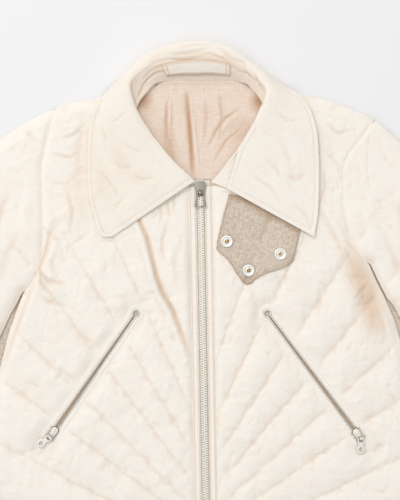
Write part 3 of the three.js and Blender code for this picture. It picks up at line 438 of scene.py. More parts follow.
SLEEVE_CREASES = (
    crease(-1.0, 3, (-230.1, 228.8), (-223.6, 219.7), (-217.1, 210.6)),
    crease(-1.0, 3, (184, 245.7), (204.8, 239.7)),
    crease(1.8, 9, (-262, 150), (-284, 88), (-300, 30), lean=0.3),
    crease(-1.2, 4, (-252, 144), (-274, 84), (-290, 28)),
    crease(1.8, 9, (262, 140), (288, 80), (306, 26), lean=-0.3),
    crease(-1.2, 4, (252, 136), (276, 78), (296, 24)),
    crease(1.4, 8, (-224, 160), (-232, 110), (-228, 60)),
    crease(1.4, 8, (222, 150), (216, 110), (228, 66)),
    crease(-1.1, 4, (-236, 96), (-254, 66), (-262, 30)),
    crease(-1.1, 4, (236, 92), (250, 60), (262, 26)),
    crease(2.0, 8, (-372, -60), (-352, -92), (-330, -110), lean=0.3),
    crease(-1.4, 4, (-366, -50), (-346, -84), (-324, -100)),
    crease(2.0, 8, (366, -86), (348, -112), (326, -128), lean=-0.3),
    crease(-1.4, 4, (372, -98), (352, -124), (330, -138)),
    crease(1.6, 8, (-434, -196), (-414, -220), (-392, -232)),
    crease(-1.1, 4, (-430, -208), (-410, -232), (-388, -243)),
    crease(1.6, 8, (440, -176), (422, -204), (400, -222)),
    crease(-1.1, 4, (436, -188), (416, -216), (394, -234)),
    crease(1.2, 7, (-330, 60), (-318, 20), (-322, -30)),
    crease(1.2, 7, (338, 70), (326, 24), (330, -20)),
)


def crumples(
    seed: int, count: int, low: tuple[float, float], high: tuple[float, float]
) -> tuple[Crease, ...]:
    """Short wrinkles that washing left, strewn from a fixed seed.

    Args:
        seed: fixed seed.
        count: how many.
        low, high: corners of the field that they fall in.

    Returns:
        The wrinkles, troughs and ridges mixed.
    """
    draw, made = np.random.default_rng(seed), []
    for _ in range(count):
        x, y = draw.uniform(low[0], high[0]), draw.uniform(low[1], high[1])
        heading, bend, half = draw.uniform(0, math.pi), draw.uniform(-0.8, 0.8), draw.uniform(6, 18)
        a, b = heading - bend, heading + bend
        start = (x - half * math.cos(a), y - half * math.sin(a))
        end = (x + half * math.cos(b), y + half * math.sin(b))
        width, rise = draw.uniform(1.7, 3.0), draw.choice([-1.0, 1.0]) * draw.uniform(0.4, 1.0)
        made.append(Crease((start, (x, y), end), width, rise))
    return tuple(made)


CRUMPLES = {
    Side.RIGHT: crumples(5, 150, (-280, HEM_Y), (0, 260)),
    Side.LEFT: crumples(9, 150, (0, HEM_Y), (280, 260)),
}


# ---- heights of the lying cloth ----
@dataclass
class LyingCloth:
    """Heights of the upper layer: CAD heights first, then quilting, creases and rumple."""

    puff: float = 3.7
    crown: float = 0.62  # power of the channel's section, lower for a fuller one
    drawn: float = 1.3  # height of the puckers along the sewn lines
    drawn_reach: float = 9.0
    pucker_long: float = 8.5
    swell_long: float = 31.0
    fan_across: float = 88.0
    fan_y: float = -365.0
    full_width: float = 44.0
    fade_top_y: float = 160.0
    fade_full_y: float = 10.0
    past_slider: float = 0.14
    rumple: Noise = field(default_factory=lambda: Noise(11))
    pucker: Noise = field(default_factory=lambda: Noise(23))
    least: float = 1.4  # thinnest that the layer gets away from its edges

    def closed_edge(self, x: Array, y: Array, side: Side) -> Array:
        """Distance to the nearest closed edge of the lying garment."""
        p = PATTERN[side]
        return np.minimum.reduce([distance(x, y, path) for path in (p.fold, p.body_side, p.sleeve_inner)])

    def inner(self, edge: Array) -> Array:
        """Underside of the upper layer, from the distance to the closed edge."""
        return INNER_Z + AIR * rim(edge, ROLL_WIDTH)

    def fan(self, x: Array, y: Array, side: Side) -> tuple[Array, Array, Array, Array]:
        """Channel number, share across it, its width there and the fan's radius.

        Args:
            x, y: places in plan.
            side: the wearer's side.

        Returns:
            Channel number, share across it, its width there and the fan's radius.
        """
        across, up = self.fan_across + np.abs(x), y - self.fan_y
        angle, radius = np.degrees(np.arctan2(across, up)), np.hypot(across, up)
        lines = np.array(PATTERN[side].quilt_degrees[side], float)
        i = np.clip(np.searchsorted(lines, angle, side="right"), 1, len(lines) - 1)
        share = (angle - lines[i - 1]) / (lines[i] - lines[i - 1])
        width = radius * np.radians(lines[i] - lines[i - 1])
        return i, np.clip(share, 0, 1), width, radius

    def quilt(self, x: Array, y: Array, side: Side) -> Array:
        """Height of the quilted channels over their sewn lines.

        Args:
            x, y: places in plan.
            side: the wearer's side.

        Returns:
            Heights in millimetres.
        """
        i, share, width, radius = self.fan(x, y, side)
        near = np.minimum(share, 1 - share) * width
        crown = np.sin(np.pi * share) ** self.crown
        drawn = np.exp(-near / self.drawn_reach) * smooth(near / 1.5)
        ripple = self.pucker.at(radius / self.pucker_long + i * 7.3, share * 2 + i * 3.1)
        broad = self.pucker.at(radius / self.swell_long + i * 5.7, share + 40.0)
        fade = smooth((self.fade_top_y - y) / (self.fade_top_y - self.fade_full_y))
        p = PATTERN[side]
        pull_end = p.slider + (p.slider - p.ring_end) * self.past_slider
        calm = smooth((distance(x, y, np.array([p.ring_end, pull_end])) - 9) / 16)
        full = np.minimum(1.0, width / self.full_width)
        raised = self.puff * full * crown * (1 + 0.22 * broad) + self.drawn * drawn * ripple
        return raised * (0.12 + 0.88 * fade) * calm

    def rumpled(self, x: Array, y: Array) -> Array:
        """Slight unevenness of washed cotton over loose wadding.

        Args:
            x, y: places in plan.

        Returns:
            Heights in millimetres.
        """
        big = self.rumple.at(x / 47.0 + 9, y / 53.0 + 4)
        mid = self.rumple.at(x / 19.0 + 60, y / 23.0 + 31)
        small = self.rumple.at(x / 7.5 + 17, y / 9.0 + 90)
        warp = 5.0 * mid
        line_a = (1 - np.abs(self.rumple.at((x + warp) / 24.0 + 3, (y - warp) / 17.0 + 50))) ** 7
        line_b = (1 - np.abs(self.pucker.at((x - warp) / 15.0 + 33, (y + warp) / 21.0 + 5))) ** 7
        where_a, where_b = smooth(0.5 + big * 1.4), smooth(0.5 - big * 1.4)
        return 0.45 * big + 0.3 * mid + 0.16 * small + 0.5 * line_a * where_a - 0.46 * line_b * where_b

    def upper(self, x: Array, y: Array, side: Side, creases: tuple[Crease, ...]) -> Array:
        """Outer surface of the upper layer.

        Args:
            x, y: places in plan.
            side: which side's outlines hold there.
            creases: folds that this cloth holds.

        Returns:
            Heights in millimetres.
        """
        p = PATTERN[side]
        edge = self.closed_edge(x, y, side)
        arm = distance(x, y, p.armhole)
        from_seam = np.abs(np.abs(x - zip_x(y)) - ZIP_OPENING / 2 - PLACKET_WIDTH)
        zip_seam = np.where((np.abs(x) < 200) & (y < FRONT_TOP_Y), from_seam, FAR)
        neck = np.where(y > 100, distance(x, y, p.neckline), FAR)
        seam = np.minimum.reduce([arm, zip_seam, neck])
        wall = lerp(EDGE_WALL, WALL, smooth(edge / 14))
        relief = self.quilt(x, y, side) + sum(c.height(x, y) for c in creases)
        relief = (relief + 1.6 * self.rumpled(x, y)) * smooth(edge / 18) * smooth(0.15 + seam / 12)
        drawn = 0.5 * self.pucker.at(x / 6.0 + 5, y / 6.0 + 77) * np.exp(-seam / 6.0) * smooth(seam / 2.0)
        groove = GROOVE * (1 - smooth(seam / 6)) * smooth(edge / 10)
        return self.inner(edge) + wall + relief + drawn - groove


CLOTH = LyingCloth()


# ---- meshes ----
def link(obj: bpy.types.Object) -> None:
    """Puts an object into the scene."""
    bpy.context.scene.collection.objects.link(obj)


@dataclass
class Mesh:
    """Vertices in millimetres with faces, gathered before one Blender object is made."""

    points: list[Array] = field(default_factory=list)
    faces: list[Array] = field(default_factory=list)
    tints: list[Array] = field(default_factory=list)
    count: int = 0

    def add(self, points: Array, faces: Array, tint: Array | None = None) -> None:
        """Adds points and faces that number from these points.

        Args:
            points: N by 3.
            faces: M by 3 or M by 4.
            tint: fold shade of each point, 0 where left out.
        """
        points = points.reshape(-1, 3)
        self.points.append(points)
        self.faces.append(np.asarray(faces, int) + self.count)
        self.tints.append(np.zeros(len(points)) if tint is None else tint.reshape(-1))
        self.count += len(points)

    def build(self, name: str, material: bpy.types.Material) -> bpy.types.Object:
        """Makes the object, smooth shaded and riding on the garment.

        Args:
            name: the piece's name.
            material: what it is made of.

        Returns:
            The new object.
        """
        mesh = bpy.data.meshes.new(name)
        faces = [f for block in self.faces for f in block.tolist()]
        mesh.from_pydata((np.vstack(self.points) * MM).tolist(), [], faces)
        mesh.validate()
        attribute = mesh.attributes.new("fold_shade", "FLOAT", "POINT")
        tints = np.concatenate(self.tints).astype(np.float32)
        attribute.data.foreach_set("value", tints[: len(mesh.vertices)])
        mesh.shade_smooth()
        mesh.materials.append(material)
        obj = bpy.data.objects.new(name, mesh)
        link(obj)
        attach(obj, "garment")
        log.info("%s: %d points, %d faces", name, len(mesh.vertices), len(mesh.polygons))
        return obj


def quads(at: Array, flip: bool = False) -> Array:
    """Faces between the neighbours in a grid of point numbers."""
    faces = np.stack([at[:-1, :-1], at[:-1, 1:], at[1:, 1:], at[1:, :-1]], axis=-1).reshape(-1, 4)
    return faces[:, ::-1] if flip else faces


def sheet_piece(
    name: str, material: bpy.types.Material, upper: Array, lower: Array, tint: Array | None = None,
    flip: bool = False,
) -> bpy.types.Object:
    """Makes a thin closed sheet whose two faces share the upper one's outermost points.

    Args:
        name: the piece's name.
        material: its cloth.
        upper, lower: rows by columns by 3.
        tint: fold shade, rows by columns, 0 where left out.
        flip: turn the faces over.

    Returns:
        The new object.
    """
    rows, columns = upper.shape[:2]
    top = np.arange(rows * columns).reshape(rows, columns)
    inside = np.zeros((rows, columns), bool)
    inside[1:-1, 1:-1] = True
    bottom = top.copy()
    bottom[inside] = rows * columns + np.arange(inside.sum())
    shade = np.zeros((rows, columns)) if tint is None else tint
    mesh = Mesh()
    mesh.add(
        np.vstack([upper.reshape(-1, 3), lower[inside]]),
        np.vstack([quads(top, flip), quads(bottom, not flip)]),
        np.concatenate([shade.reshape(-1), shade[inside]]),
    )
    return mesh.build(name, material)


def rim(edge: Array, radius: float) -> Array:
    """Share of the half thickness at a distance in from a rounded edge."""
    t = np.clip(edge / radius, 0, 1)
    return np.sqrt(np.maximum(0.0, 1 - (1 - t) ** 2))


def two_faces(x: Array, y: Array, top: Array, low: Array, edge: Array, radius: float) -> tuple[Array, Array]:
    """Upper and lower face of a layer that closes roundly at its edges.

    Args:
        x, y: places in plan.
        top, low: heights away from the edges.
        edge: distance in from the nearest edge.
        radius: how far in the rounding reaches.

    Returns:
        Both faces, rows by columns by 3.
    """
    middle, half = (top + low) / 2, (top - low) / 2 * rim(edge, radius)
    return np.dstack([x, y, middle + half]), np.dstack([x, y, middle - half])


def spaced(width: Array, near: tuple[float, ...], count: int, reach: float = 0.24) -> Array:
    """Places across each row: close together at both ends and even between.

    Args:
        width: each row's width.
        near: distances of the first places from each end.
        count: places between them.
        reach: largest share of a row that the near places take.

    Returns:
        Rows by places.
    """
    width = np.asarray(width, float)[:, None]
    ends = np.array(near)[None, :] * np.minimum(1.0, reach * width / near[-1])
    between = np.linspace(0, 1, count + 2)[None, 1:-1]
    middle = ends[:, -1:] + (width - 2 * ends[:, -1:]) * between
    return np.hstack([ends, middle, width - ends[:, ::-1]])


NEAR_EDGE = (0.0, 0.35, 0.9, 1.8, 3.4)


def fold_shade(z: Array, spread: int = 3) -> Array:
    """Shade of hollows: how far each place lies under the mean of the places round it, 0 to 1.

    Args:
        z: heights, rows by columns.
        spread: reach of the mean, in places.

    Returns:
        Rows by columns.
    """
    total, weight = np.zeros_like(z), 0
    padded = np.pad(z, spread, mode="edge")
    for i in range(2 * spread + 1):
        for j in range(2 * spread + 1):
            total += padded[i : i + z.shape[0], j : j + z.shape[1]]
            weight += 1
    return np.clip((total / weight - z - 0.10) / 0.75, 0, 1)


# ---- finishes ----
def linear(hex_colour: str) -> Colour:
    """sRGB hex to the linear colour that a shader takes."""
    parts = [int(hex_colour[i : i + 2], 16) / 255 for i in (0, 2, 4)]
    r, g, b = (c / 12.92 if c <= 0.04045 else ((c + 0.055) / 1.055) ** 2.4 for c in parts)
    return (r, g, b, 1.0)


def put(tree: bpy.types.NodeTree, kind: str, settings: dict, links: dict | None = None) -> bpy.types.Node:
    """Adds a node with its settings and links.

    Args:
        tree: the material's nodes.
        kind: Blender's name for the node, after "ShaderNode".
        settings: values by attribute name, or by input name or number.
        links: output sockets by input name or number.

    Returns:
        The node.
    """
    node = tree.nodes.new(f"ShaderNode{kind}")
    for key, value in settings.items():
        if isinstance(key, int) or key in node.inputs:
            node.inputs[key].default_value = value
        else:
            setattr(node, key, value)
    for key, socket in (links or {}).items():
        tree.links.new(socket, node.inputs[key])
    return node


def fresh(name: str) -> tuple[bpy.types.Material, bpy.types.NodeTree]:
    """A new material with an empty node tree.

    Args:
        name: the material's name.

    Returns:
        The material and its nodes.
    """
    material = bpy.data.materials.new(name)
    material.use_nodes = True
    material.node_tree.nodes.clear()
    return material, material.node_tree


def woven_place(tree: bpy.types.NodeTree, grain: float) -> bpy.types.NodeSocket:
    """Object places in millimetres, turned so that X runs along the weft.

    Args:
        tree: the material's nodes.
        grain: turn of the weft, degrees.

    Returns:
        The socket that gives the place.
    """
    place = put(tree, "TexCoord", {})
    per_mm = 1 / MM
    turned = put(
        tree, "Mapping", {"Rotation": (0, 0, math.radians(grain)), "Scale": (per_mm, per_mm, per_mm)},
        {"Vector": place.outputs["Object"]},
    )
    return turned.outputs["Vector"]


@dataclass(frozen=True)
class WovenCloth:
    """Plain-woven cloth, with slubs along both yarns and painted shade down in its folds."""

    name: str
    base: str
    pale: str
    dark: str
    # colour that the painted fold shade mixes towards; the dye's patches lean to it a little too
    fold: str
    yarn: float  # yarn spacing as drawn, mm
    slub: float  # mix of slub colour
    bump: float
    grain: float = 0.0
    sheen: float = 0.25
    roughness: float = 0.9
    fold_mix: float = 0.6
    slub_long: float = 12.0  # length of a slub, mm
    patch: float = 38.0  # size of the uneven dye's patches, mm
    crumple: float = 6.0  # size of the dents that washing left, as drawn, mm

    def make(self) -> bpy.types.Material:
        """Builds the material.

        Returns:
            The material.
        """
        material, tree = fresh(self.name)
        place = woven_place(tree, self.grain)
        yarns = []
        long, fine, through = 1 / self.slub_long, 1 / self.yarn, 0.2
        for squeeze, seed in (((long, fine, through), 3.1), ((fine, long, through), 8.7)):
            moved = put(tree, "Mapping", {"Scale": squeeze, "Location": (seed, seed, 0)}, {"Vector": place})
            yarns.append(put(
                tree, "TexNoise", {"Scale": 1.0, "Detail": 2.0, "Roughness": 0.6},
                {"Vector": moved.outputs["Vector"]},
            ).outputs["Fac"])
        both = put(tree, "Math", {"operation": "ADD"}, {0: yarns[0], 1: yarns[1]})
        fleck = put(tree, "MapRange", {"From Min": 0.72, "From Max": 1.28}, {"Value": both.outputs[0]})
        patch = put(
            tree, "TexNoise", {"Scale": 1 / self.patch, "Detail": 3.0, "Roughness": 0.55}, {"Vector": place}
        )
        ground = put(
            tree, "Mix", {"data_type": "RGBA", 6: linear(self.dark), 7: linear(self.pale)},
            {0: fleck.outputs["Result"]},
        )
        slubbed = put(
            tree, "Mix", {"data_type": "RGBA", 0: self.slub, 6: linear(self.base)}, {7: ground.outputs[2]}
        )
        mottle = put(
            tree, "MapRange", {"From Min": 0.35, "From Max": 0.65, "To Min": 0.0, "To Max": 0.05},
            {"Value": patch.outputs["Fac"]},
        )
        toned = put(
            tree, "Mix", {"data_type": "RGBA", 7: linear(self.fold)},
            {0: mottle.outputs["Result"], 6: slubbed.outputs[2]},
        )
        # painted shade: the fold_shade attribute mixes the colour towards the fold colour
        hollow = put(tree, "Attribute", {"attribute_name": "fold_shade"})
        share = put(
            tree, "Math", {"operation": "MULTIPLY", 1: self.fold_mix, "use_clamp": True},
            {0: hollow.outputs["Fac"]},
        )
        colour = put(
            tree, "Mix", {"data_type": "RGBA", 7: linear(self.fold)},
            {0: share.outputs[0], 6: toned.outputs[2]},
        )
        crumple = put(
            tree, "TexNoise", {"Scale": 1 / self.crumple, "Detail": 4.0, "Roughness": 0.6}, {"Vector": place}
        )
        relief = put(
            tree, "Math", {"operation": "MULTIPLY_ADD", 1: 3.0},
            {0: crumple.outputs["Fac"], 2: both.outputs[0]},
        )
        bump = put(tree, "Bump", {"Strength": self.bump, "Distance": 0.6 * MM}, {"Height": relief.outputs[0]})
        shader = put(
            tree, "BsdfPrincipled",
            {"Roughness": self.roughness, "IOR": 1.5, "Sheen Weight": self.sheen, "Sheen Roughness": 0.6,
             "Specular IOR Level": 0.25},
            {"Base Color": colour.outputs[2], "Normal": bump.outputs["Normal"]},
        )
        put(tree, "OutputMaterial", {}, {"Surface": shader.outputs["BSDF"]})
        return material


@dataclass(frozen=True)
class CastMetal:
    """Cast and tumbled metal: soft reflections with fine knocks, a film of handling, and painted shade in its
    inner corners.
    """

    name: str
    base: str
    worn: str
    roughness: float
    # colour of the painted shade in inner corners
    corner_shade: str = "4a443b"
    reach: float = 1.6  # how far from an inner corner the painted shade reaches, mm
    shut: float = 0.35  # share of open sky where the painted shade is full, and where it ends
    clear: float = 0.85
    grit: float = 1.6  # size of the tumbling marks, mm

    def make(self) -> bpy.types.Material:
        """Builds the material.

        Returns:
            The material.
        """
        material, tree = fresh(self.name)
        place = put(tree, "TexCoord", {})
        marks = put(
            tree, "TexNoise", {"Scale": 1 / (self.grit * MM), "Detail": 4.0, "Roughness": 0.7},
            {"Vector": place.outputs["Object"]},
        )
        colour = put(
            tree, "Mix", {"data_type": "RGBA", 6: linear(self.base), 7: linear(self.worn)},
            {0: marks.outputs["Fac"]},
        )
        # painted shade: the colour darkens where ambient occlusion finds an inner corner
        corner = put(tree, "AmbientOcclusion", {"Distance": self.reach * MM, "samples": 8})
        open_part = put(
            tree, "MapRange", {"From Min": self.shut, "From Max": self.clear},
            {"Value": corner.outputs["AO"]},
        )
        corner_shaded = put(
            tree, "Mix", {"data_type": "RGBA", 6: linear(self.corner_shade)},
            {0: open_part.outputs["Result"], 7: colour.outputs[2]},
        )
        rough = put(
            tree, "MapRange",
            {"From Min": 0.3, "From Max": 0.7, "To Min": self.roughness * 0.8,
             "To Max": self.roughness * 1.3},
            {"Value": marks.outputs["Fac"]},
        )
        bump = put(tree, "Bump", {"Strength": 0.25, "Distance": 0.2 * MM}, {"Height": marks.outputs["Fac"]})
        shader = put(
            tree, "BsdfPrincipled", {"Metallic": 1.0},
            {"Base Color": corner_shaded.outputs[2], "Roughness": rough.outputs["Result"],
             "Normal": bump.outputs["Normal"]},
        )
        put(tree, "OutputMaterial", {}, {"Surface": shader.outputs["BSDF"]})
        return material


@dataclass(frozen=True)
class SewingThread:
    """Spun cotton thread: two plies that catch the light in turn."""

    name: str
    base: str
    dark: str
    twist: float = 0.8  # length of one turn of the plies, mm

    def make(self) -> bpy.types.Material:
        """Builds the material.

        Returns:
            The material.
        """
        material, tree = fresh(self.name)
        place = put(tree, "TexCoord", {})
        ply = put(
            tree, "TexNoise", {"Scale": 1 / (self.twist * MM), "Detail": 2.0, "Roughness": 0.5},
            {"Vector": place.outputs["Object"]},
        )
        colour = put(
            tree, "Mix", {"data_type": "RGBA", 6: linear(self.dark), 7: linear(self.base)},
            {0: ply.outputs["Fac"]},
        )
        bump = put(tree, "Bump", {"Strength": 0.3, "Distance": 0.2 * MM}, {"Height": ply.outputs["Fac"]})
        shader = put(
            tree, "BsdfPrincipled",
            {"Roughness": 0.7, "IOR": 1.5, "Sheen Weight": 0.2, "Specular IOR Level": 0.3},
            {"Base Color": colour.outputs[2], "Normal": bump.outputs["Normal"]},
        )
        put(tree, "OutputMaterial", {}, {"Surface": shader.outputs["BSDF"]})
        return material


@dataclass(frozen=True)
class StudioPaper:
    """Matt background paper with a barely uneven tone."""

    name: str
    base: str
    dark: str

    def make(self) -> bpy.types.Material:
        """Builds the material.

        Returns:
            The material.
        """
        material, tree = fresh(self.name)
        place = put(tree, "TexCoord", {})
        tone = put(tree, "TexNoise", {"Scale": 3.0, "Detail": 2.0}, {"Vector": place.outputs["Object"]})
        colour = put(
            tree, "Mix", {"data_type": "RGBA", 6: linear(self.base), 7: linear(self.dark)},
            {0: tone.outputs["Fac"]},
        )
        shader = put(
            tree, "BsdfPrincipled", {"Roughness": 0.95, "IOR": 1.45, "Specular IOR Level": 0.1},
            {"Base Color": colour.outputs[2]},
        )
        put(tree, "OutputMaterial", {}, {"Surface": shader.outputs["BSDF"]})
        return material


ECRU = {
    "base": "f7f0e6", "pale": "faf5ed", "dark": "f0e7db", "fold": "d6b089",
    "yarn": 0.9, "slub": 0.3, "bump": 0.42,
}


class Finish(Enum):
    """Every finish on the jacket and round it."""

    # undyed washed cotton in a plain weave: dry and matt, with a short nap that pales at a low angle; its
    # 0.4 mm yarns are drawn 0.9 mm apart, and so are the linens' and the tape's, to show at this size
    BODY_COTTON = WovenCloth("undyed_washed_cotton", **ECRU)
    RIGHT_SLEEVE_COTTON = WovenCloth("undyed_washed_cotton_right_sleeve", grain=-25.0, **ECRU)
    LEFT_SLEEVE_COTTON = WovenCloth("undyed_washed_cotton_left_sleeve", grain=25.0, **ECRU)
    # heather linen: brown and cream yarns side by side, coarse and hairy
    HEATHER_LINEN = WovenCloth(
        "heather_linen_weave", base="d8c8b5", pale="ede3d6", dark="b5a088", fold="a07c58", yarn=0.8, slub=0.8,
        bump=0.7, sheen=0.15, roughness=0.95, slub_long=5.0, fold_mix=0.6,
    )
    # lining linen: paler and smoother, in an open weave; drawn coarsest, since only its slubs tell
    LINING_LINEN = WovenCloth(
        "lining_linen_weave", base="f3e2d2", pale="f8eee4", dark="e6d2be", fold="bb8a60", yarn=1.4, slub=0.8,
        bump=0.5, sheen=0.1, roughness=0.95, fold_mix=0.8, slub_long=15.0,
    )
    # cotton zip tape: dense, flat herringbone
    ZIP_TAPE = WovenCloth(
        "cotton_zip_tape", base="eee4d6", pale="f4ecdf", dark="d8cab6", fold="cdb79a", yarn=0.9, slub=0.4,
        bump=0.4, sheen=0.1, roughness=0.85,
    )
    # cast zinc with tumbled nickel plating: pale, silky, slightly warm, with painted shade in its deepest
    # corners
    NICKEL = CastMetal(
        "tumbled_nickel_plate", base="fbf9f4", worn="efece4", roughness=0.45, corner_shade="8f8574", reach=0.9,
        shut=0.02, clear=0.3,
    )
    # the main slider and its pull: the same plate as a darker copy, which is painted shade, darkest in its
    # corners
    SHADED_NICKEL = CastMetal(
        "shaded_nickel_plate", base="b7b2a6", worn="7d786c", roughness=0.2, reach=2.8, clear=0.95
    )
    # the pocket sliders and pulls: the plate still bright, with painted shade only in its corners
    RUBBED_NICKEL = CastMetal("rubbed_nickel_plate", base="f4f2ec", worn="d5d1c7", roughness=0.25, reach=1.4)
    # drawn brass: the rivet inside each snap, with painted shade in its corners
    BRASS = CastMetal("drawn_brass", base="d9b06a", worn="a8803f", roughness=0.3)
    THREAD = SewingThread("spun_cotton_thread", base="f6efe5", dark="e6dac8")
    # the same thread drawn darker, as painted shade where it lies tight in a groove
    SEAM_THREAD = SewingThread("spun_cotton_seam_thread", base="e2d2bb", dark="bfa584")
    PAPER = StudioPaper("matt_background_paper", base="efefef", dark="ecebeb")

    @property
    def material(self) -> bpy.types.Material:
        """The Blender material, built the first time it is asked for."""
        return bpy.data.materials.get(self.value.name) or self.value.make()


# ---- sewing ----
# three rings of four points, closed at both ends
TUBE_FACES = np.array(
    [[k + j, k + (j + 1) % 4, k + 4 + (j + 1) % 4, k + 4 + j] for k in (0, 4) for j in range(4)]
    + [[3, 2, 1, 0], [8, 9, 10, 11]]
)


@dataclass
class Sewing:
    """Rows of thread stitches, gathered as one mesh."""

    stitch: float = 2.7
    gap: float = 0.9
    radius: float = 0.24
    sink: float = 0.22
    thread: Finish = Finish.THREAD
    mesh: Mesh = field(default_factory=Mesh)

    def row(self, path: Array, normals: Array) -> None:
        """Lays stitches along a path on the cloth.

        Args:
            path: N by 3 points on the surface.
            normals: N by 3 surface normals.
        """
        both = resample(np.hstack([path, normals]), (self.stitch + self.gap) / 2)
        starts, ends = both[0:-1:2], both[1::2]
        n = min(len(starts), len(ends))
        if n < 1:
            return
        a, b, up = starts[:n, :3], ends[:n, :3], unit(starts[:n, 3:])
        way = unit(b - a)
        middle, half = (a + b) / 2, self.stitch / 2
        across = unit(np.cross(way, up))
        rings = []
        for along, scale, drop in ((-half, 0.3, self.sink), (0.0, 1.0, 0.0), (half, 0.3, self.sink)):
            centre = middle + way * along - up * drop + up * self.radius * 0.35
            for turn in range(4):
                c, s = math.cos(turn * math.pi / 2), math.sin(turn * math.pi / 2)
                rings.append(centre + (across * c + up * s) * self.radius * scale)
        points = np.stack(rings, axis=1).reshape(-1, 3)
        faces = (TUBE_FACES[None] + 12 * np.arange(n)[:, None, None]).reshape(-1, 4)
        self.mesh.add(points, faces)

    def finish(self, name: str) -> bpy.types.Object | None:
        """Makes the thread piece, if anything was sewn."""
        return self.mesh.build(name, self.thread.material) if self.mesh.count else None


class RowSurface:
    """A grid surface whose rows each keep one y, for laying things on the cloth as it was meshed."""

    def __init__(self, grid: Array) -> None:
        """Keeps the rows.

        Args:
            grid: rows by columns by 3, y rising row by row.
        """
        self.y = grid[:, 0, 1]
        order = np.argsort(grid[:, :, 0], axis=1)
        self.x = np.take_along_axis(grid[:, :, 0], order, 1)
        self.z = np.take_along_axis(grid[:, :, 2], order, 1)

    def height(self, x: Array, y: Array) -> Array:
        """Height of the surface at places in plan.

        Args:
            x, y: places in plan.

        Returns:
            One height for each place.
        """
        x, y = np.atleast_1d(x).astype(float), np.atleast_1d(y).astype(float)
        r = np.clip(np.searchsorted(self.y, y, side="right") - 1, 0, len(self.y) - 2)
        w = np.clip((y - self.y[r]) / np.maximum(self.y[r + 1] - self.y[r], 1e-6), 0, 1)
        low = np.array([np.interp(a, self.x[k], self.z[k]) for a, k in zip(x, r)])
        high = np.array([np.interp(a, self.x[k + 1], self.z[k + 1]) for a, k in zip(x, r)])
        return lerp(low, high, w)

    def lay(self, path: Array, lift: float = 0.0) -> tuple[Array, Array]:
        """Puts a plan path on the surface.

        Args:
            path: N by 2 places.
            lift: extra height.

        Returns:
            N by 3 points and N by 3 normals.
        """
        x, y = path[:, 0], path[:, 1]
        z = self.height(x, y)
        step = 1.5  # reach of the slope's two samples
        nx = (self.height(x - step, y) - self.height(x + step, y)) / (2 * step)
        ny = (self.height(x, y - step) - self.height(x, y + step)) / (2 * step)
        return np.stack([x, y, z + lift], 1), unit(np.stack([nx, ny, np.ones_like(z)], 1))


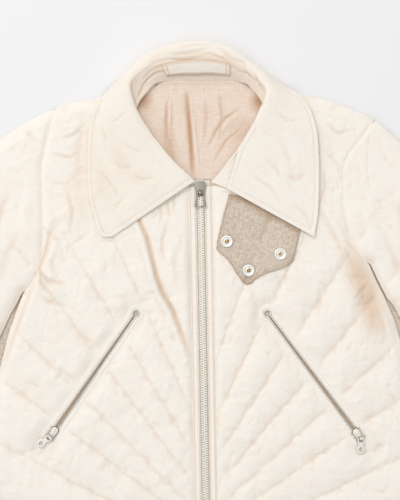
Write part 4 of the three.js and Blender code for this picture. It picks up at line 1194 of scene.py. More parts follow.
# ---- body ----
@dataclass
class Fronts:
    """The two quilted fronts, each closed at its side and shoulder and open at hem, zip and neck."""

    row_step: float = 2.15
    columns: int = 124
    rim_radius: float = 1.5
    trough_z: float = 5.6
    trough_low: float = 3.9
    quilt_start: float = 60.0  # reach of the sewn lines out of the fan's centre
    quilt_end: float = 620.0
    flat_size: tuple[float, float] = (0.30, 0.66)
    flat_area: float = 0.150
    surfaces: dict = field(default_factory=dict)

    def grid(self, side: Side) -> Array:
        """Places in plan of one front's mesh, rows by columns by 2.

        Args:
            side: the wearer's side.

        Returns:
            Rows by columns by 2.
        """
        p = PATTERN[side]
        ys = np.arange(p.neckline[0, 1], 292, 0.05)
        open_rows = ys[(p.outer_out(ys) - p.inner_out(ys)) > 0.3]
        top = open_rows[-1]
        near = HEM_Y + np.array(NEAR_EDGE)
        count = int((top - near[-1]) / self.row_step)
        y = np.concatenate([near[:-1], np.linspace(near[-1], top, count)])
        inner, outer = p.inner_out(y), p.outer_out(y)
        across = spaced(outer - inner, NEAR_EDGE, self.columns)
        out = inner[:, None] + across
        return np.stack([p.side.sign * out, np.broadcast_to(y[:, None], out.shape)], axis=-1)

    def build(self, side: Side) -> bpy.types.Object:
        """Makes one front.

        Args:
            side: the wearer's side.

        Returns:
            The new piece.
        """
        p, plan = PATTERN[side], self.grid(side)
        x, y = plan[..., 0], plan[..., 1]
        top = CLOTH.upper(x, y, side, BODY_CREASES)
        clear = smooth((distance(x, y, np.array([p.ring_end, p.slider])) - 12) / 12)
        closed = CLOTH.closed_edge(x, y, side)
        clear = clear * smooth((np.abs(x - zip_x(y)) - 17) / 12) * smooth(closed / 16)
        top = top + clear * creased(x, y, CRUMPLES[side])[0]
        low = np.minimum(CLOTH.inner(closed), top - CLOTH.least)
        top, low = self.press_pocket(side, x, y, top, low)
        shade = np.maximum(HOLLOW_TONE * fold_shade(top), creased(x, y, BODY_CREASES)[1])
        border = np.vstack([plan[0], plan[1:, -1], plan[::-1, 0]])
        edge = distance(x, y, border)
        edge[0, :], edge[:, 0], edge[:, -1], edge[-1, :] = 0, 0, 0, 0
        upper, lower = two_faces(x, y, top, low, edge, self.rim_radius)
        self.surfaces[side] = RowSurface(upper)
        obj = sheet_piece(
            f"front_cloth_{side.value}", Finish.BODY_COTTON.material, upper, lower, shade, side is Side.RIGHT
        )
        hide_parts(f"front_{side.value}")
        return obj

    def press_pocket(self, side: Side, x: Array, y: Array, top: Array, low: Array) -> tuple[Array, Array]:
        """Sinks the cloth under the pocket's zip, so that its rows lie in the mouth.

        Args:
            side: which front.
            x, y: places in plan.
            top, low: the layer's heights there.

        Returns:
            The sunk heights, top and low.
        """
        p = PATTERN[side]
        s, t = p.pocket_place(x, y)
        half = POCKET.half_mouth(s, p.pocket_length) + POCKET.row + 0.6
        past = np.maximum(s - p.pocket_length - POCKET.ring_in - POCKET.row + 1.0, -s - 10.0)
        ring = np.hypot(s - p.pocket_length, t) - POCKET.ring_in - POCKET.row - 0.4
        gap = np.minimum(np.maximum(np.abs(t) - half, past), ring)
        sunk = 1 - smooth(gap / 2.2 + 0.5)
        return lerp(top, self.trough_z, sunk), lerp(low, self.trough_low, sunk)

    def sew(self) -> None:
        """Quilting lines, and the seam beside the zip."""
        for side, surface in self.surfaces.items():
            sewing, p = Sewing(radius=0.2), PATTERN[side]
            for degree in p.quilt_degrees[side][1:-1]:
                radius = np.arange(self.quilt_start, self.quilt_end, 1.5)
                out = radius * math.sin(math.radians(degree)) - CLOTH.fan_across
                y = CLOTH.fan_y + radius * math.cos(math.radians(degree))
                x = p.side.sign * out
                s, t = p.pocket_place(x, y)
                near_pocket = (np.abs(t) < 11) & (s > -32) & (s < p.pocket_length + 12)
                inside = (out > p.inner_out(y) + 3) & (out < p.outer_out(y) - 6)
                keep = inside & (y > HEM_Y + 3) & (y < 120) & ~near_pocket
                for run in np.split(np.arange(len(keep)), np.flatnonzero(np.diff(keep.astype(int))) + 1):
                    if keep[run[0]] and len(run) > 8:
                        sewing.row(*surface.lay(np.stack([x[run], y[run]], 1)))
            y = np.arange(HEM_Y + 4, FRONT_TOP_Y - 2, 2.0)
            seam = np.stack([p.zip_seam(y) + p.side.sign * 3.0, y], 1)
            sewing.row(*surface.lay(seam))
            obj = sewing.finish(f"quilting_{side.value}")


@dataclass
class Back:
    """The back layer, flat on the table, with shallow sewn lines underneath."""

    rows: int = 126
    columns: int = 110
    groove: float = 1.1
    groove_width: float = 3.0
    shoulder_y: float = 287.5
    shoulder_out: float = 59.0
    top_y: float = 292.6
    top_out: float = 54.0
    half_thick: float = 1.5
    flat_size: tuple[float, float] = (0.60, 0.66)
    flat_area: float = 0.315

    def build(self) -> bpy.types.Object:
        """Makes the back.

        Returns:
            The new piece.
        """
        near = HEM_Y + np.array(NEAR_EDGE)
        y = np.concatenate([near[:-1], np.linspace(near[-1], self.top_y, self.rows)])
        neck = np.interp(y, [self.shoulder_y, self.top_y], [self.shoulder_out, self.top_out])
        right, left = (np.where(y > self.shoulder_y, neck, PATTERN[side].outer_out(y)) for side in Side)
        across = spaced(left + right, NEAR_EDGE, self.columns)
        x = -right[:, None] + across
        y = np.broadcast_to(y[:, None], x.shape)
        under = np.zeros_like(x)
        for side in Side:
            _, share, width, _ = CLOTH.fan(x, y, side)
            line = bell(np.minimum(share, 1 - share) * width, self.groove_width)
            fade = smooth((260 - y) / 60) * smooth(np.abs(x) / 8)
            under = np.where(x * side.sign > 0, self.groove * line * fade, under)
        edge = np.minimum.reduce([x + right[:, None], left[:, None] - x, y - HEM_Y, self.top_y - y])
        half = self.half_thick
        shape = rim(np.maximum(edge, 0), half)
        upper = np.dstack([x, y, half + half * shape])
        lower = np.dstack([x, y, half - (half - under) * shape])
        obj = sheet_piece("back_cloth", Finish.BODY_COTTON.material, upper, lower)
        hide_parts("back")
        return obj


@dataclass
class Sleeves:
    """Two-piece sleeves, lying flat beside the body with open cuffs."""

    start_out: float = 190.0
    start_y: float = 262.0
    slope: float = 65.0
    row_step: float = 3.0
    columns: int = 44
    under_step: float = 6.0
    under_columns: int = 24
    rim_radius: float = 1.5
    seam_overlap: float = 0.7
    flat_size: tuple[float, float] = (0.20, 0.66)
    flat_area: float = 0.088

    def to_frame(self, path: Array) -> tuple[Array, Array]:
        """Places as distance along the sleeve and across it."""
        c, s = math.cos(math.radians(self.slope)), math.sin(math.radians(self.slope))
        out, y = np.abs(path[:, 0]) - self.start_out, path[:, 1] - self.start_y
        return out * c - y * s, out * s + y * c

    def from_frame(self, s: Array, t: Array, sign: int) -> Array:
        """The reverse of to_frame."""
        c, n = math.cos(math.radians(self.slope)), math.sin(math.radians(self.slope))
        out = self.start_out + s * c + t * n
        return np.stack([sign * out, self.start_y - s * n + t * c], axis=-1)

    def grid(self, side: Side, step: float, columns: int) -> Array:
        """Places in plan of one sleeve's mesh.

        Args:
            side: which sleeve.
            step: distance between rows.
            columns: places across between the ones near the edges.

        Returns:
            Rows by columns by 2.
        """
        p = PATTERN[side]
        shift = np.array([[p.side.sign * 1.0, 0.0]])
        near_pit = smooth((np.linspace(0, 1, len(p.armhole)) - 0.94) / 0.06)[:, None]
        turned = lerp(-self.seam_overlap, ARMPIT_SHIFT, near_pit)
        inner = np.vstack([(p.armhole + shift * turned)[:-1], p.sleeve_inner + shift * ARMPIT_SHIFT])
        outer = p.sleeve_outer + shift * SEAM_SHIFT
        s_in, t_in = self.to_frame(inner)
        s_out, t_out = self.to_frame(outer)
        start = max(s_in[0], s_out[0])
        count = int((s_in[-1] - start) / step)
        tail = np.array(NEAR_EDGE[::-1]) / (s_in[-1] - start)
        share = np.concatenate([np.linspace(0, 1 - tail[0], count)[:-1], 1 - tail])
        along_in = start + share * (s_in[-1] - start)
        along_out = start + share * (s_out[-1] - start)
        a, b = np.interp(along_in, s_in, t_in), np.interp(along_out, s_out, t_out)
        across = spaced(np.maximum(b - a, 0.05), NEAR_EDGE, columns)
        mix = across / np.maximum(b - a, 0.05)[:, None]
        s = lerp(along_in[:, None], along_out[:, None], mix)
        return self.from_frame(s, a[:, None] + across, p.side.sign)

    def build(self, side: Side) -> list[bpy.types.Object]:
        """Makes the upper and the under sleeve.

        Args:
            side: the wearer's side.

        Returns:
            The two new pieces.
        """
        made = []
        finish = Finish.RIGHT_SLEEVE_COTTON if side is Side.RIGHT else Finish.LEFT_SLEEVE_COTTON
        steps = {"top": (self.row_step, self.columns), "under": (self.under_step, self.under_columns)}
        for part, (step, columns) in steps.items():
            plan = self.grid(side, step, columns)
            x, y = plan[..., 0], plan[..., 1]
            border = np.vstack([plan[:, 0], plan[-1], plan[::-1, -1]])
            edge = distance(x, y, border)
            edge[0], edge[-1], edge[:, 0], edge[:, -1] = 0, 0, 0, 0
            if part == "top":
                top = CLOTH.upper(x, y, side, SLEEVE_CREASES)
                low = np.minimum(CLOTH.inner(CLOTH.closed_edge(x, y, side)), top - CLOTH.least)
                shade = np.maximum(HOLLOW_TONE * fold_shade(top), creased(x, y, SLEEVE_CREASES)[1])
            else:
                top, low, shade = np.full(x.shape, WALL), np.zeros(x.shape), None
            upper, lower = two_faces(x, y, top, low, edge, self.rim_radius)
            obj = sheet_piece(
                f"sleeve_{part}_cloth_{side.value}", finish.material, upper, lower, shade, side is Side.LEFT
            )
            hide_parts(f"sleeve_{part}_{side.value}")
            made.append(obj)
        return made


@dataclass
class Gussets:
    """Slivers of heather linen let in between body and sleeve at the armpit."""

    end_y: float = -166.0
    rows: int = 60
    columns: int = 14
    middle: float = 1.5
    half_thick: float = 0.9
    tuck: float = 0.5  # how far it goes in under its neighbours
    flat_size: tuple[float, float] = (0.05, 0.20)
    flat_area: float = 0.0036

    def build(self, side: Side) -> bpy.types.Object:
        """Makes one gusset as rows of constant y between the two edges.

        Args:
            side: the wearer's side.

        Returns:
            The new piece.
        """
        p = PATTERN[side]
        body, sleeve = p.body_side[::-1], p.sleeve_inner[::-1]
        start = min(body[-1, 1], sleeve[-1, 1]) - 4
        y = np.linspace(self.end_y, start, self.rows)
        near = np.interp(y, body[:, 1], np.abs(body[:, 0])) - self.tuck
        far = np.interp(y, sleeve[:, 1], np.abs(sleeve[:, 0])) + ARMPIT_SHIFT + self.tuck
        width = np.maximum(far - near, 0.1)[:, None]
        out = near[:, None] + width * np.linspace(0, 1, self.columns)
        x = p.side.sign * out
        y = np.broadcast_to(y[:, None], x.shape)
        wave = 0.25 * CLOTH.rumple.at(x / 8, y / 15)
        edge = np.minimum.reduce([out - near[:, None], far[:, None] - out, y - self.end_y, start - y])
        shape = rim(np.maximum(edge, 0), 1.0)
        upper = np.dstack([x, y, self.middle + (self.half_thick + wave) * shape])
        lower = np.dstack([x, y, self.middle - self.half_thick * shape])
        # painted shade, deeper where the gusset narrows into the armpit
        pit_shade = smooth(1.15 - width / 7) * np.ones_like(x)
        obj = sheet_piece(
            f"gusset_cloth_{side.value}", Finish.HEATHER_LINEN.material, upper, lower, pit_shade, side is Side.RIGHT
        )
        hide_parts(f"gusset_{side.value}")
        return obj


# ---- zips ----
def metal_copy(
    node: str, body: str, bevel: float, finish: Finish = Finish.SHADED_NICKEL
) -> bpy.types.Object:
    """A softened copy of a cast metal solid, standing for its CAD node.

    Args:
        node: the CAD node.
        body: body that it rides on.
        bevel: width of the rounded edges, mm.
        finish: the metal.

    Returns:
        The new piece.
    """
    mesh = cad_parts[node].data.copy()
    bm = bmesh.new()
    bm.from_mesh(mesh)
    bmesh.ops.remove_doubles(bm, verts=bm.verts, dist=1e-6)
    bmesh.ops.dissolve_limit(bm, angle_limit=math.radians(2), verts=bm.verts, edges=bm.edges)
    sharp = [e for e in bm.edges if len(e.link_faces) == 2 and e.calc_face_angle(0) > math.radians(35)]
    bmesh.ops.bevel(
        bm, geom=sharp, offset=bevel * MM, segments=2, profile=0.6, affect="EDGES", clamp_overlap=True
    )
    bm.to_mesh(mesh)
    bm.free()
    mesh.materials.clear()
    mesh.materials.append(finish.material)
    mesh.shade_smooth()
    mesh.set_sharp_from_angle(angle=math.radians(40))
    obj = bpy.data.objects.new(f"{node}_cast", mesh)
    link(obj)
    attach(obj, body)
    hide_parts(node)
    log.info("%s: %d faces", obj.name, len(mesh.polygons))
    return obj


def block(low: Point, high: Point, bevel: float) -> tuple[Array, Array]:
    """A stamped block with a chamfered top.

    Args:
        low, high: opposite corners.
        bevel: width and height of the chamfer.

    Returns:
        Points and faces.
    """
    (x0, y0, z0), (x1, y1, z1) = low, high
    points = []
    for inset, z in ((0.0, z0), (0.0, z1 - bevel), (bevel, z1)):
        a, b, c, d = x0 + inset, y0 + inset, x1 - inset, y1 - inset
        points += [(a, b, z), (c, b, z), (c, d, z), (a, d, z)]
    return np.array(points, float), TUBE_FACES


@dataclass
class MainZip:
    """The heavy centre zip: plackets, tape, two rows of teeth, slider and open pull."""

    chain: float = 8.4
    chain_low: float = 6.2
    chain_top: float = 9.8
    pitch: float = 3.1
    tooth: float = 2.0
    tape_half: float = 13.5
    cord_half: float = 4.9
    tape_low: float = 4.9
    tape_high: float = 5.9
    tape_end_y: float = 163.0
    tape_flat: tuple[float, float] = (0.027, 0.507)
    stitch_in: float = 1.6  # from the placket's edges to its sewn lines
    placket_flat: tuple[float, float] = (0.0118, 0.50)
    placket_area: float = 0.0058

    def teeth(self) -> bpy.types.Object:
        """The two interlocked rows.

        Returns:
            The new piece.
        """
        mesh = Mesh()
        count = int((ZIP_TOP_Y - HEM_Y - 6) / self.pitch)
        for side in Side:
            sign = side.sign
            half = self.tooth / 2
            low, high = (0.6, -half, self.chain_low), (self.chain / 2 + 0.5, half, self.chain_top)
            points, faces = block(low, high, 0.25)
            points[:, 0] = sign * (self.chain / 2 - points[:, 0])
            faces = faces if sign < 0 else faces[:, ::-1]
            for k in range(count):
                y = HEM_Y + 5.5 + (k + (0.5 if sign > 0 else 0.0)) * self.pitch
                mesh.add(points + np.array([zip_x(y), y, 0.0]), faces)
        obj = mesh.build("zip_teeth", Finish.NICKEL.material)
        obj.data.set_sharp_from_angle(angle=math.radians(30))
        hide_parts("zip_chain")
        return obj

    def tape(self) -> bpy.types.Object:
        """The tape, with a corded edge beside each row of teeth.

        Returns:
            The new piece.
        """
        y = np.linspace(HEM_Y + 2, self.tape_end_y, 120)
        half = np.array([0, 2.5, 3.8, 4.6, 5.3, 6, 9, self.tape_half - 0.3, self.tape_half])
        t = np.concatenate([-half[:0:-1], half])
        x = zip_x(y)[:, None] + t
        cord = 1.2 * np.exp(-((t / self.cord_half) ** 8))
        top = self.tape_high + cord + 0.12 * CLOTH.rumple.at(x / 6, y[:, None] / 8)
        yy = np.broadcast_to(y[:, None], x.shape)
        upper, lower = np.dstack([x, yy, top]), np.dstack([x, yy, np.full(x.shape, self.tape_low)])
        obj = sheet_piece("zip_tape_cloth", Finish.ZIP_TAPE.material, upper, lower)
        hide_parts("zip_tape")
        return obj

    def placket(self, side: Side) -> bpy.types.Object:
        """One folded strip beside the teeth, stitched along both edges.

        Args:
            side: the wearer's side.

        Returns:
            The new piece.
        """
        p = PATTERN[side]
        y = np.linspace(HEM_Y, FRONT_TOP_Y, 210)
        inner, outer = ZIP_OPENING / 2, ZIP_OPENING / 2 + PLACKET_WIDTH + 0.5
        near = np.array([0, 0.3, 0.8, 1.5])
        t = np.concatenate([inner + near, np.linspace(inner + 2.2, outer - 2.2, 7), outer - near[::-1]])
        x = zip_x(y)[:, None] + p.side.sign * t
        yy = np.broadcast_to(y[:, None], x.shape)
        edge = np.minimum(t - inner, outer - t)[None, :] * np.ones_like(x)
        edge = np.minimum(edge, np.minimum(yy - HEM_Y, FRONT_TOP_Y - yy))
        wave = 0.35 * CLOTH.rumple.at(yy / 14.0, x / 30.0 + 12) + 0.14 * CLOTH.pucker.at(yy / 5.0, x / 6.0)
        sewn = 0.45 * bell(edge - self.stitch_in, 0.7)
        top = FULL_Z - 0.1 + wave * rim(edge, 2.5) - sewn
        upper, lower = two_faces(x, yy, top, np.full(x.shape, INNER_Z + AIR), edge, 1.1)
        # painted shade in the hollows and along the sewn lines' grooves
        tone = np.maximum(fold_shade(top, 2), 0.75 * bell(edge - self.stitch_in, 0.8))
        obj = sheet_piece(
            f"placket_cloth_{side.value}", Finish.BODY_COTTON.material, upper, lower, tone, side is Side.RIGHT
        )
        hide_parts(f"placket_{side.value}")
        surface, sewing = RowSurface(upper), Sewing(radius=0.26, thread=Finish.SEAM_THREAD)
        for t_line in (inner + self.stitch_in, outer - self.stitch_in):
            sewing.row(*surface.lay(np.stack([zip_x(y) + p.side.sign * t_line, y], 1)))
        sewing.finish(f"placket_stitches_{side.value}")
        return obj

    def build(self) -> None:
        """Makes the whole centre zip."""
        self.tape()
        self.teeth()
        for side in Side:
            self.placket(side)
        metal_copy("zip_slider", "garment", 0.7)
        metal_copy("zip_pull", "main_pull", 0.45)


@dataclass
class PocketZip:
    """A slanted pocket zip: two rows of teeth joined by a ring, folded lips, lining, slider and pull."""

    mouth_top: float = 1.4
    mouth_end: float = 5.4
    row: float = 2.6
    ring_in: float = 3.6
    pitch: float = 2.3
    teeth_low: float = 6.5
    tooth: float = 1.9
    teeth_top: float = FULL_Z + 0.3
    lip_start: float = 7.0
    lip_stitch: float = 6.4
    lip_profile: tuple = (
        # out from the mouth, over the front's cloth
        (1.7, -3.0), (1.9, -0.7), (2.3, 0.1), (3.2, 0.4), (4.8, 0.5), (6.6, 0.35), (7.6, -0.2), (8.0, -1.2),
    )
    lip_flat: tuple[float, float] = (0.012, 0.40)
    bag_half: float = 13.0
    bag_past_slider: float = 18.0
    bag_past_ring: float = 14.0
    bag_z: float = 5.2

    def half_mouth(self, s: Array, length: float) -> Array:
        """Half width of the open mouth at a distance from the slider."""
        return lerp(self.mouth_end, self.mouth_top, np.clip(s / length, 0, 1)) / 2

    def path(self, side: Side, extra: float, start: float) -> Array:
        """Line round the mouth: up one side, round the ring and down the other.

        Args:
            side: the pocket's side.
            extra: distance out of the mouth's edge.
            start: where it starts and ends, from the slider.

        Returns:
            Places as (s, t).
        """
        length = PATTERN[side].pocket_length
        ring = self.ring_in + extra
        half_top = float(self.half_mouth(np.array(length), length)) + extra
        join = math.asin(min(0.95, half_top / ring))
        s = np.linspace(start, length - ring * math.cos(join), 60)
        t = self.half_mouth(s, length) + extra
        angle = np.linspace(math.pi - join, -(math.pi - join), 29)[1:-1]
        turn = np.stack([length + ring * np.cos(angle), ring * np.sin(angle)], 1)
        return np.vstack([np.stack([s, t], 1), turn, np.stack([s, -t], 1)[::-1]])

    def teeth(self, side: Side) -> bpy.types.Object:
        """The stamped teeth of both rows and the ring.

        Args:
            side: the wearer's side.

        Returns:
            The new piece.
        """
        p, mesh = PATTERN[side], Mesh()
        line = resample(self.path(side, self.tooth / 2 + 0.2, 9.0), self.pitch)
        way = unit(np.gradient(line, axis=0))
        half = self.tooth / 2
        points, faces = block((-0.9, -half, self.teeth_low), (0.9, half, self.teeth_top), 0.2)
        along, across = points[:, 0], points[:, 1]
        for (s, t), (ws, wt) in zip(line, way):
            placed = p.pocket_point(s + along * ws - across * wt, t + along * wt + across * ws)
            mesh.add(np.hstack([placed, points[:, 2:]]), faces)
        obj = mesh.build(f"pocket_teeth_{side.value}", Finish.NICKEL.material)
        obj.data.set_sharp_from_angle(angle=math.radians(30))
        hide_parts(f"pocket_zip_{side.value}")
        return obj

    def over_front(self, side: Side, line: Array, rise: float) -> Array:
        """Places of a line, given as (s, t), at a height over the front's cloth."""
        place = PATTERN[side].pocket_point(line[:, 0], line[:, 1])
        z = CLOTH.upper(place[:, 0], place[:, 1], side, BODY_CREASES) + rise
        return np.hstack([place, z[:, None]])

    def lips(self, side: Side) -> bpy.types.Object:
        """The folded lip round the mouth, with its row of stitches.

        Args:
            side: the wearer's side.

        Returns:
            The new piece.
        """
        mesh = Mesh()
        grid = np.stack([
            self.over_front(side, resample(self.path(side, out, self.lip_start), count=150), rise)
            for out, rise in self.lip_profile
        ], axis=1)
        mesh.add(grid, quads(np.arange(grid[..., 0].size).reshape(grid.shape[:2])))
        obj = mesh.build(f"pocket_lips_{side.value}", Finish.BODY_COTTON.material)
        sewing = Sewing(radius=0.2)
        line = self.over_front(side, self.path(side, self.lip_stitch, self.lip_start), 0.42)
        sewing.row(line, np.tile(UP, (len(line), 1)))
        sewing.finish(f"pocket_stitches_{side.value}")
        return obj

    def lining(self, side: Side) -> bpy.types.Object:
        """The linen pocket bag that shows between the rows.

        Args:
            side: the wearer's side.

        Returns:
            The new piece.
        """
        p = PATTERN[side]
        first, last = -self.bag_past_slider, p.pocket_length + self.bag_past_ring
        s = np.linspace(first, last, 90)
        t = np.linspace(-self.bag_half, self.bag_half, 26)
        ss, tt = np.meshgrid(s, t, indexing="ij")
        place = p.pocket_point(ss, tt)
        sag = 0.25 * CLOTH.rumple.at(ss / 9, tt / 7)
        centre = smooth(1 - np.abs(tt) / 8)
        top = lerp(5.5, 6.15, centre) + sag * centre
        edge = np.minimum.reduce([ss - first, last - ss, self.bag_half - np.abs(tt)])
        shape = rim(np.maximum(edge, 0), 0.5)
        upper = np.dstack([place, self.bag_z + (top - self.bag_z) * shape])
        lower = np.dstack([place, self.bag_z - 0.3 * shape])
        # painted shade down the middle of the mouth, between the rows of teeth
        mouth_shade = 0.9 * np.exp(-((tt / 1.8) ** 4)) * smooth((p.pocket_length - 2 - ss) / 6)
        obj = sheet_piece(
            f"pocket_lining_{side.value}", Finish.HEATHER_LINEN.material, upper, lower, mouth_shade, flip=True
        )
        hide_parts(f"pocket_bag_{side.value}")
        return obj

    def build(self, side: Side) -> None:
        """Makes one pocket.

        Args:
            side: the wearer's side.
        """
        self.lining(side)
        self.teeth(side)
        self.lips(side)
        metal_copy(f"pocket_slider_{side.value}", "garment", 0.5, Finish.RUBBED_NICKEL)
        metal_copy(f"pocket_pull_{side.value}", f"pull_{side.value}", 0.4, Finish.RUBBED_NICKEL)


POCKET = PocketZip()


# ---- collar ----
@dataclass(frozen=True)
class CollarRow:
    """One section of the collar, from the neck seam over the crest to the outer edge."""

    neck: tuple[float, float]
    crest: Point
    edge: Point
    bearing: float
    bulge: float
    tuck: float
    lap: float = 0.0
    fold: Point | None = None

    @property
    def seam(self) -> Array:
        """Where the fall is sewn to the stand.

        Returns:
            A place with its height.
        """
        x, y, z = self.fold or self.crest
        inward = np.array([self.neck[0] - x, self.neck[1] - y])
        inward = inward / np.hypot(*inward) * self.lap
        return np.array([x + inward[0], y + inward[1], z - 0.12 * self.lap])

    @property
    def way(self) -> Array:
        """Plan direction out of the collar."""
        return np.array([math.cos(math.radians(self.bearing)), math.sin(math.radians(self.bearing))])

    @property
    def back(self) -> float:
        """How far it belongs to the back of the neck, 0 to 1."""
        return min(1.0, self.lap / 12.0)

    def out_of(self, place: tuple, way: float, rise: float) -> tuple:
        """A place moved out along the row's bearing and up."""
        x, y, z = place
        return (x + self.way[0] * way, y + self.way[1] * way, z + rise)


COLLAR_ROWS = (
    CollarRow((-14, 155.5), (-10.4, 158.6, 15.8), (-116, 87.5, 12), 214, 10, -35),
    CollarRow((-25, 161), (-20, 168, 16.2), (-131, 88.5, 12), 219, 10, -35),
    CollarRow((-46, 170), (-36, 183, 17), (-139, 107, 12), 219, 10, -35),
    CollarRow((-68, 195), (-57, 208.5, 18), (-147.5, 143, 12), 216, 10, -30),
    CollarRow((-82, 222), (-73, 231, 20), (-148.8, 191, 12), 208, 10, -25),
    CollarRow((-87, 243), (-85, 252, 22), (-146.5, 232, 12), 198, 9, -20),
    CollarRow((-82, 262), (-93, 277, 23), (-136, 261, 9), 197, 9, -10),
    CollarRow((-72, 275), (-94, 294, 22), (-112, 288, 2.2), 160, 6, 5, lap=4),
    CollarRow((-60, 287), (-79, 314, 21), (-80, 307, 1.8), 138, 11, 11, lap=9),
    CollarRow((-40, 291), (-55, 331.5, 21), (-50, 318, 1.8), 113, 13, 16, lap=12),
    CollarRow((-2, 291.4), (-2, 340, 21), (-2, 320, 1.8), 90, 15, 20, lap=12),
    CollarRow((38, 291), (38, 331, 21), (33, 317, 1.8), 68, 13, 16, lap=12),
    CollarRow((57, 287), (65, 309, 21), (66, 304, 1.8), 48, 11, 11, lap=9),
    CollarRow((69, 275), (80, 290, 22), (103, 287, 2.2), 25, 7, 5, lap=4),
    CollarRow((78, 261), (83, 274, 23), (134, 263, 12), -12, 9, -10),
    CollarRow((81, 243), (76, 252, 22), (148, 231, 15), -16, 9, -20),
    CollarRow((77, 222), (64, 229, 17.6), (151.8, 191, 15), -23, 10, -25, fold=(64, 229, 20.8)),
    CollarRow((65, 195), (48, 203, 15.6), (152, 150, 15), -27, 10, -30, fold=(48.5, 203, 19.2)),
    CollarRow((51, 171), (30, 180, 13.8), (150.5, 117, 15), -30, 10, -35, fold=(41, 179, 18)),
    CollarRow((37, 148.5), (12, 158, 12.8), (145.5, 87, 16), -29, 10, -35, fold=(32, 149.6, 17)),
)
COLLAR_CREASES = (
    crease(-1.0, 3.0, (-146.9, 150.8), (-155, 138), (-162.5, 126.1)),
    crease(-0.9, 3.5, (-120, 200), (-100, 180), (-84, 172)),
    crease(0.9, 8.0, (-128, 214), (-106, 190), (-84, 160)),
    crease(0.8, 8.0, (-60, 160), (-84, 140), (-104, 118)),
    crease(-0.9, 11.0, (-120, 236), (-112, 200), (-92, 166), (-64, 150)),
    crease(-0.7, 12.0, (-136, 196), (-128, 150), (-112, 118)),
    crease(-1.2, 2.0, (-120, 188), (-102, 176), (-88, 178)),
    crease(-1.2, 1.8, (-92, 172), (-78, 162), (-60, 164)),
    crease(-1.1, 2.0, (-138, 176), (-124, 164), (-108, 142)),
    crease(-1.1, 1.8, (120, 130), (134, 116), (142, 98)),
    crease(-1.1, 1.8, (60, 176), (74, 160), (90, 150), (104, 128)),
    crease(0.9, 8.0, (128, 200), (112, 170), (96, 150)),
    crease(-0.8, 3.5, (100, 214), (112, 190), (118, 160)),
    crease(0.7, 8.0, (70, 160), (96, 134), (120, 116)),
    # nested wrinkles inside the back, between loop and crest
    crease(-1.4, 1.4, (-74, 288), (-60, 300), (-46, 303)),
    crease(-1.3, 1.3, (46, 303), (58, 299), (70, 289)),
    crease(-1.4, 1.3, (-82, 268), (-77, 284), (-66, 297)),
    crease(-1.4, 1.4, (60, 306), (71, 293), (78, 276)),
    crease(-1.2, 1.2, (-40, 306), (-18, 309), (4, 308), (26, 309), (44, 305)),
    crease(-1.5, 1.9, (-46.8, 322.4), (-28.6, 323.7), (-2.6, 327.6), (9.1, 332.8)),
    crease(-1.7, 2.0, (14.3, 338), (39, 317.2), (53.3, 312), (63.7, 288.6)),
    crease(-1.3, 1.8, (-64, 312), (-44, 317), (-20, 316), (0, 320)),
    crease(-1.2, 1.8, (-76, 292), (-66, 303), (-52, 309), (-40, 310)),
    crease(-1.2, 1.8, (6, 326), (26, 318), (44, 305), (56, 292)),
    crease(-1.0, 1.6, (-30, 331), (-10, 335), (14, 334)),
    crease(-1.2, 1.8, (-86, 262), (-80, 276), (-70, 288)),
    crease(-1.2, 1.8, (80, 256), (74, 270), (66, 282)),
    crease(1.2, 4.0, (20, 330), (36, 308), (48, 296)),
    crease(1.1, 4.0, (-70, 300), (-52, 312), (-30, 319)),
    crease(-1.0, 1.8, (-132, 232), (-124, 214), (-126, 196)),
    crease(-1.0, 1.8, (-96, 250), (-112, 238), (-122, 236)),
    crease(-1.0, 1.8, (96, 248), (110, 238), (126, 238)),
    crease(-1.1, 1.8, (138, 170), (122, 162), (104, 168)),
    crease(-1.0, 1.8, (80, 190), (96, 176), (104, 158)),
    crease(-1.0, 1.8, (-100, 140), (-112, 126), (-116, 110)),
    crease(-1.0, 1.8, (-74, 196), (-90, 200), (-104, 210)),
)


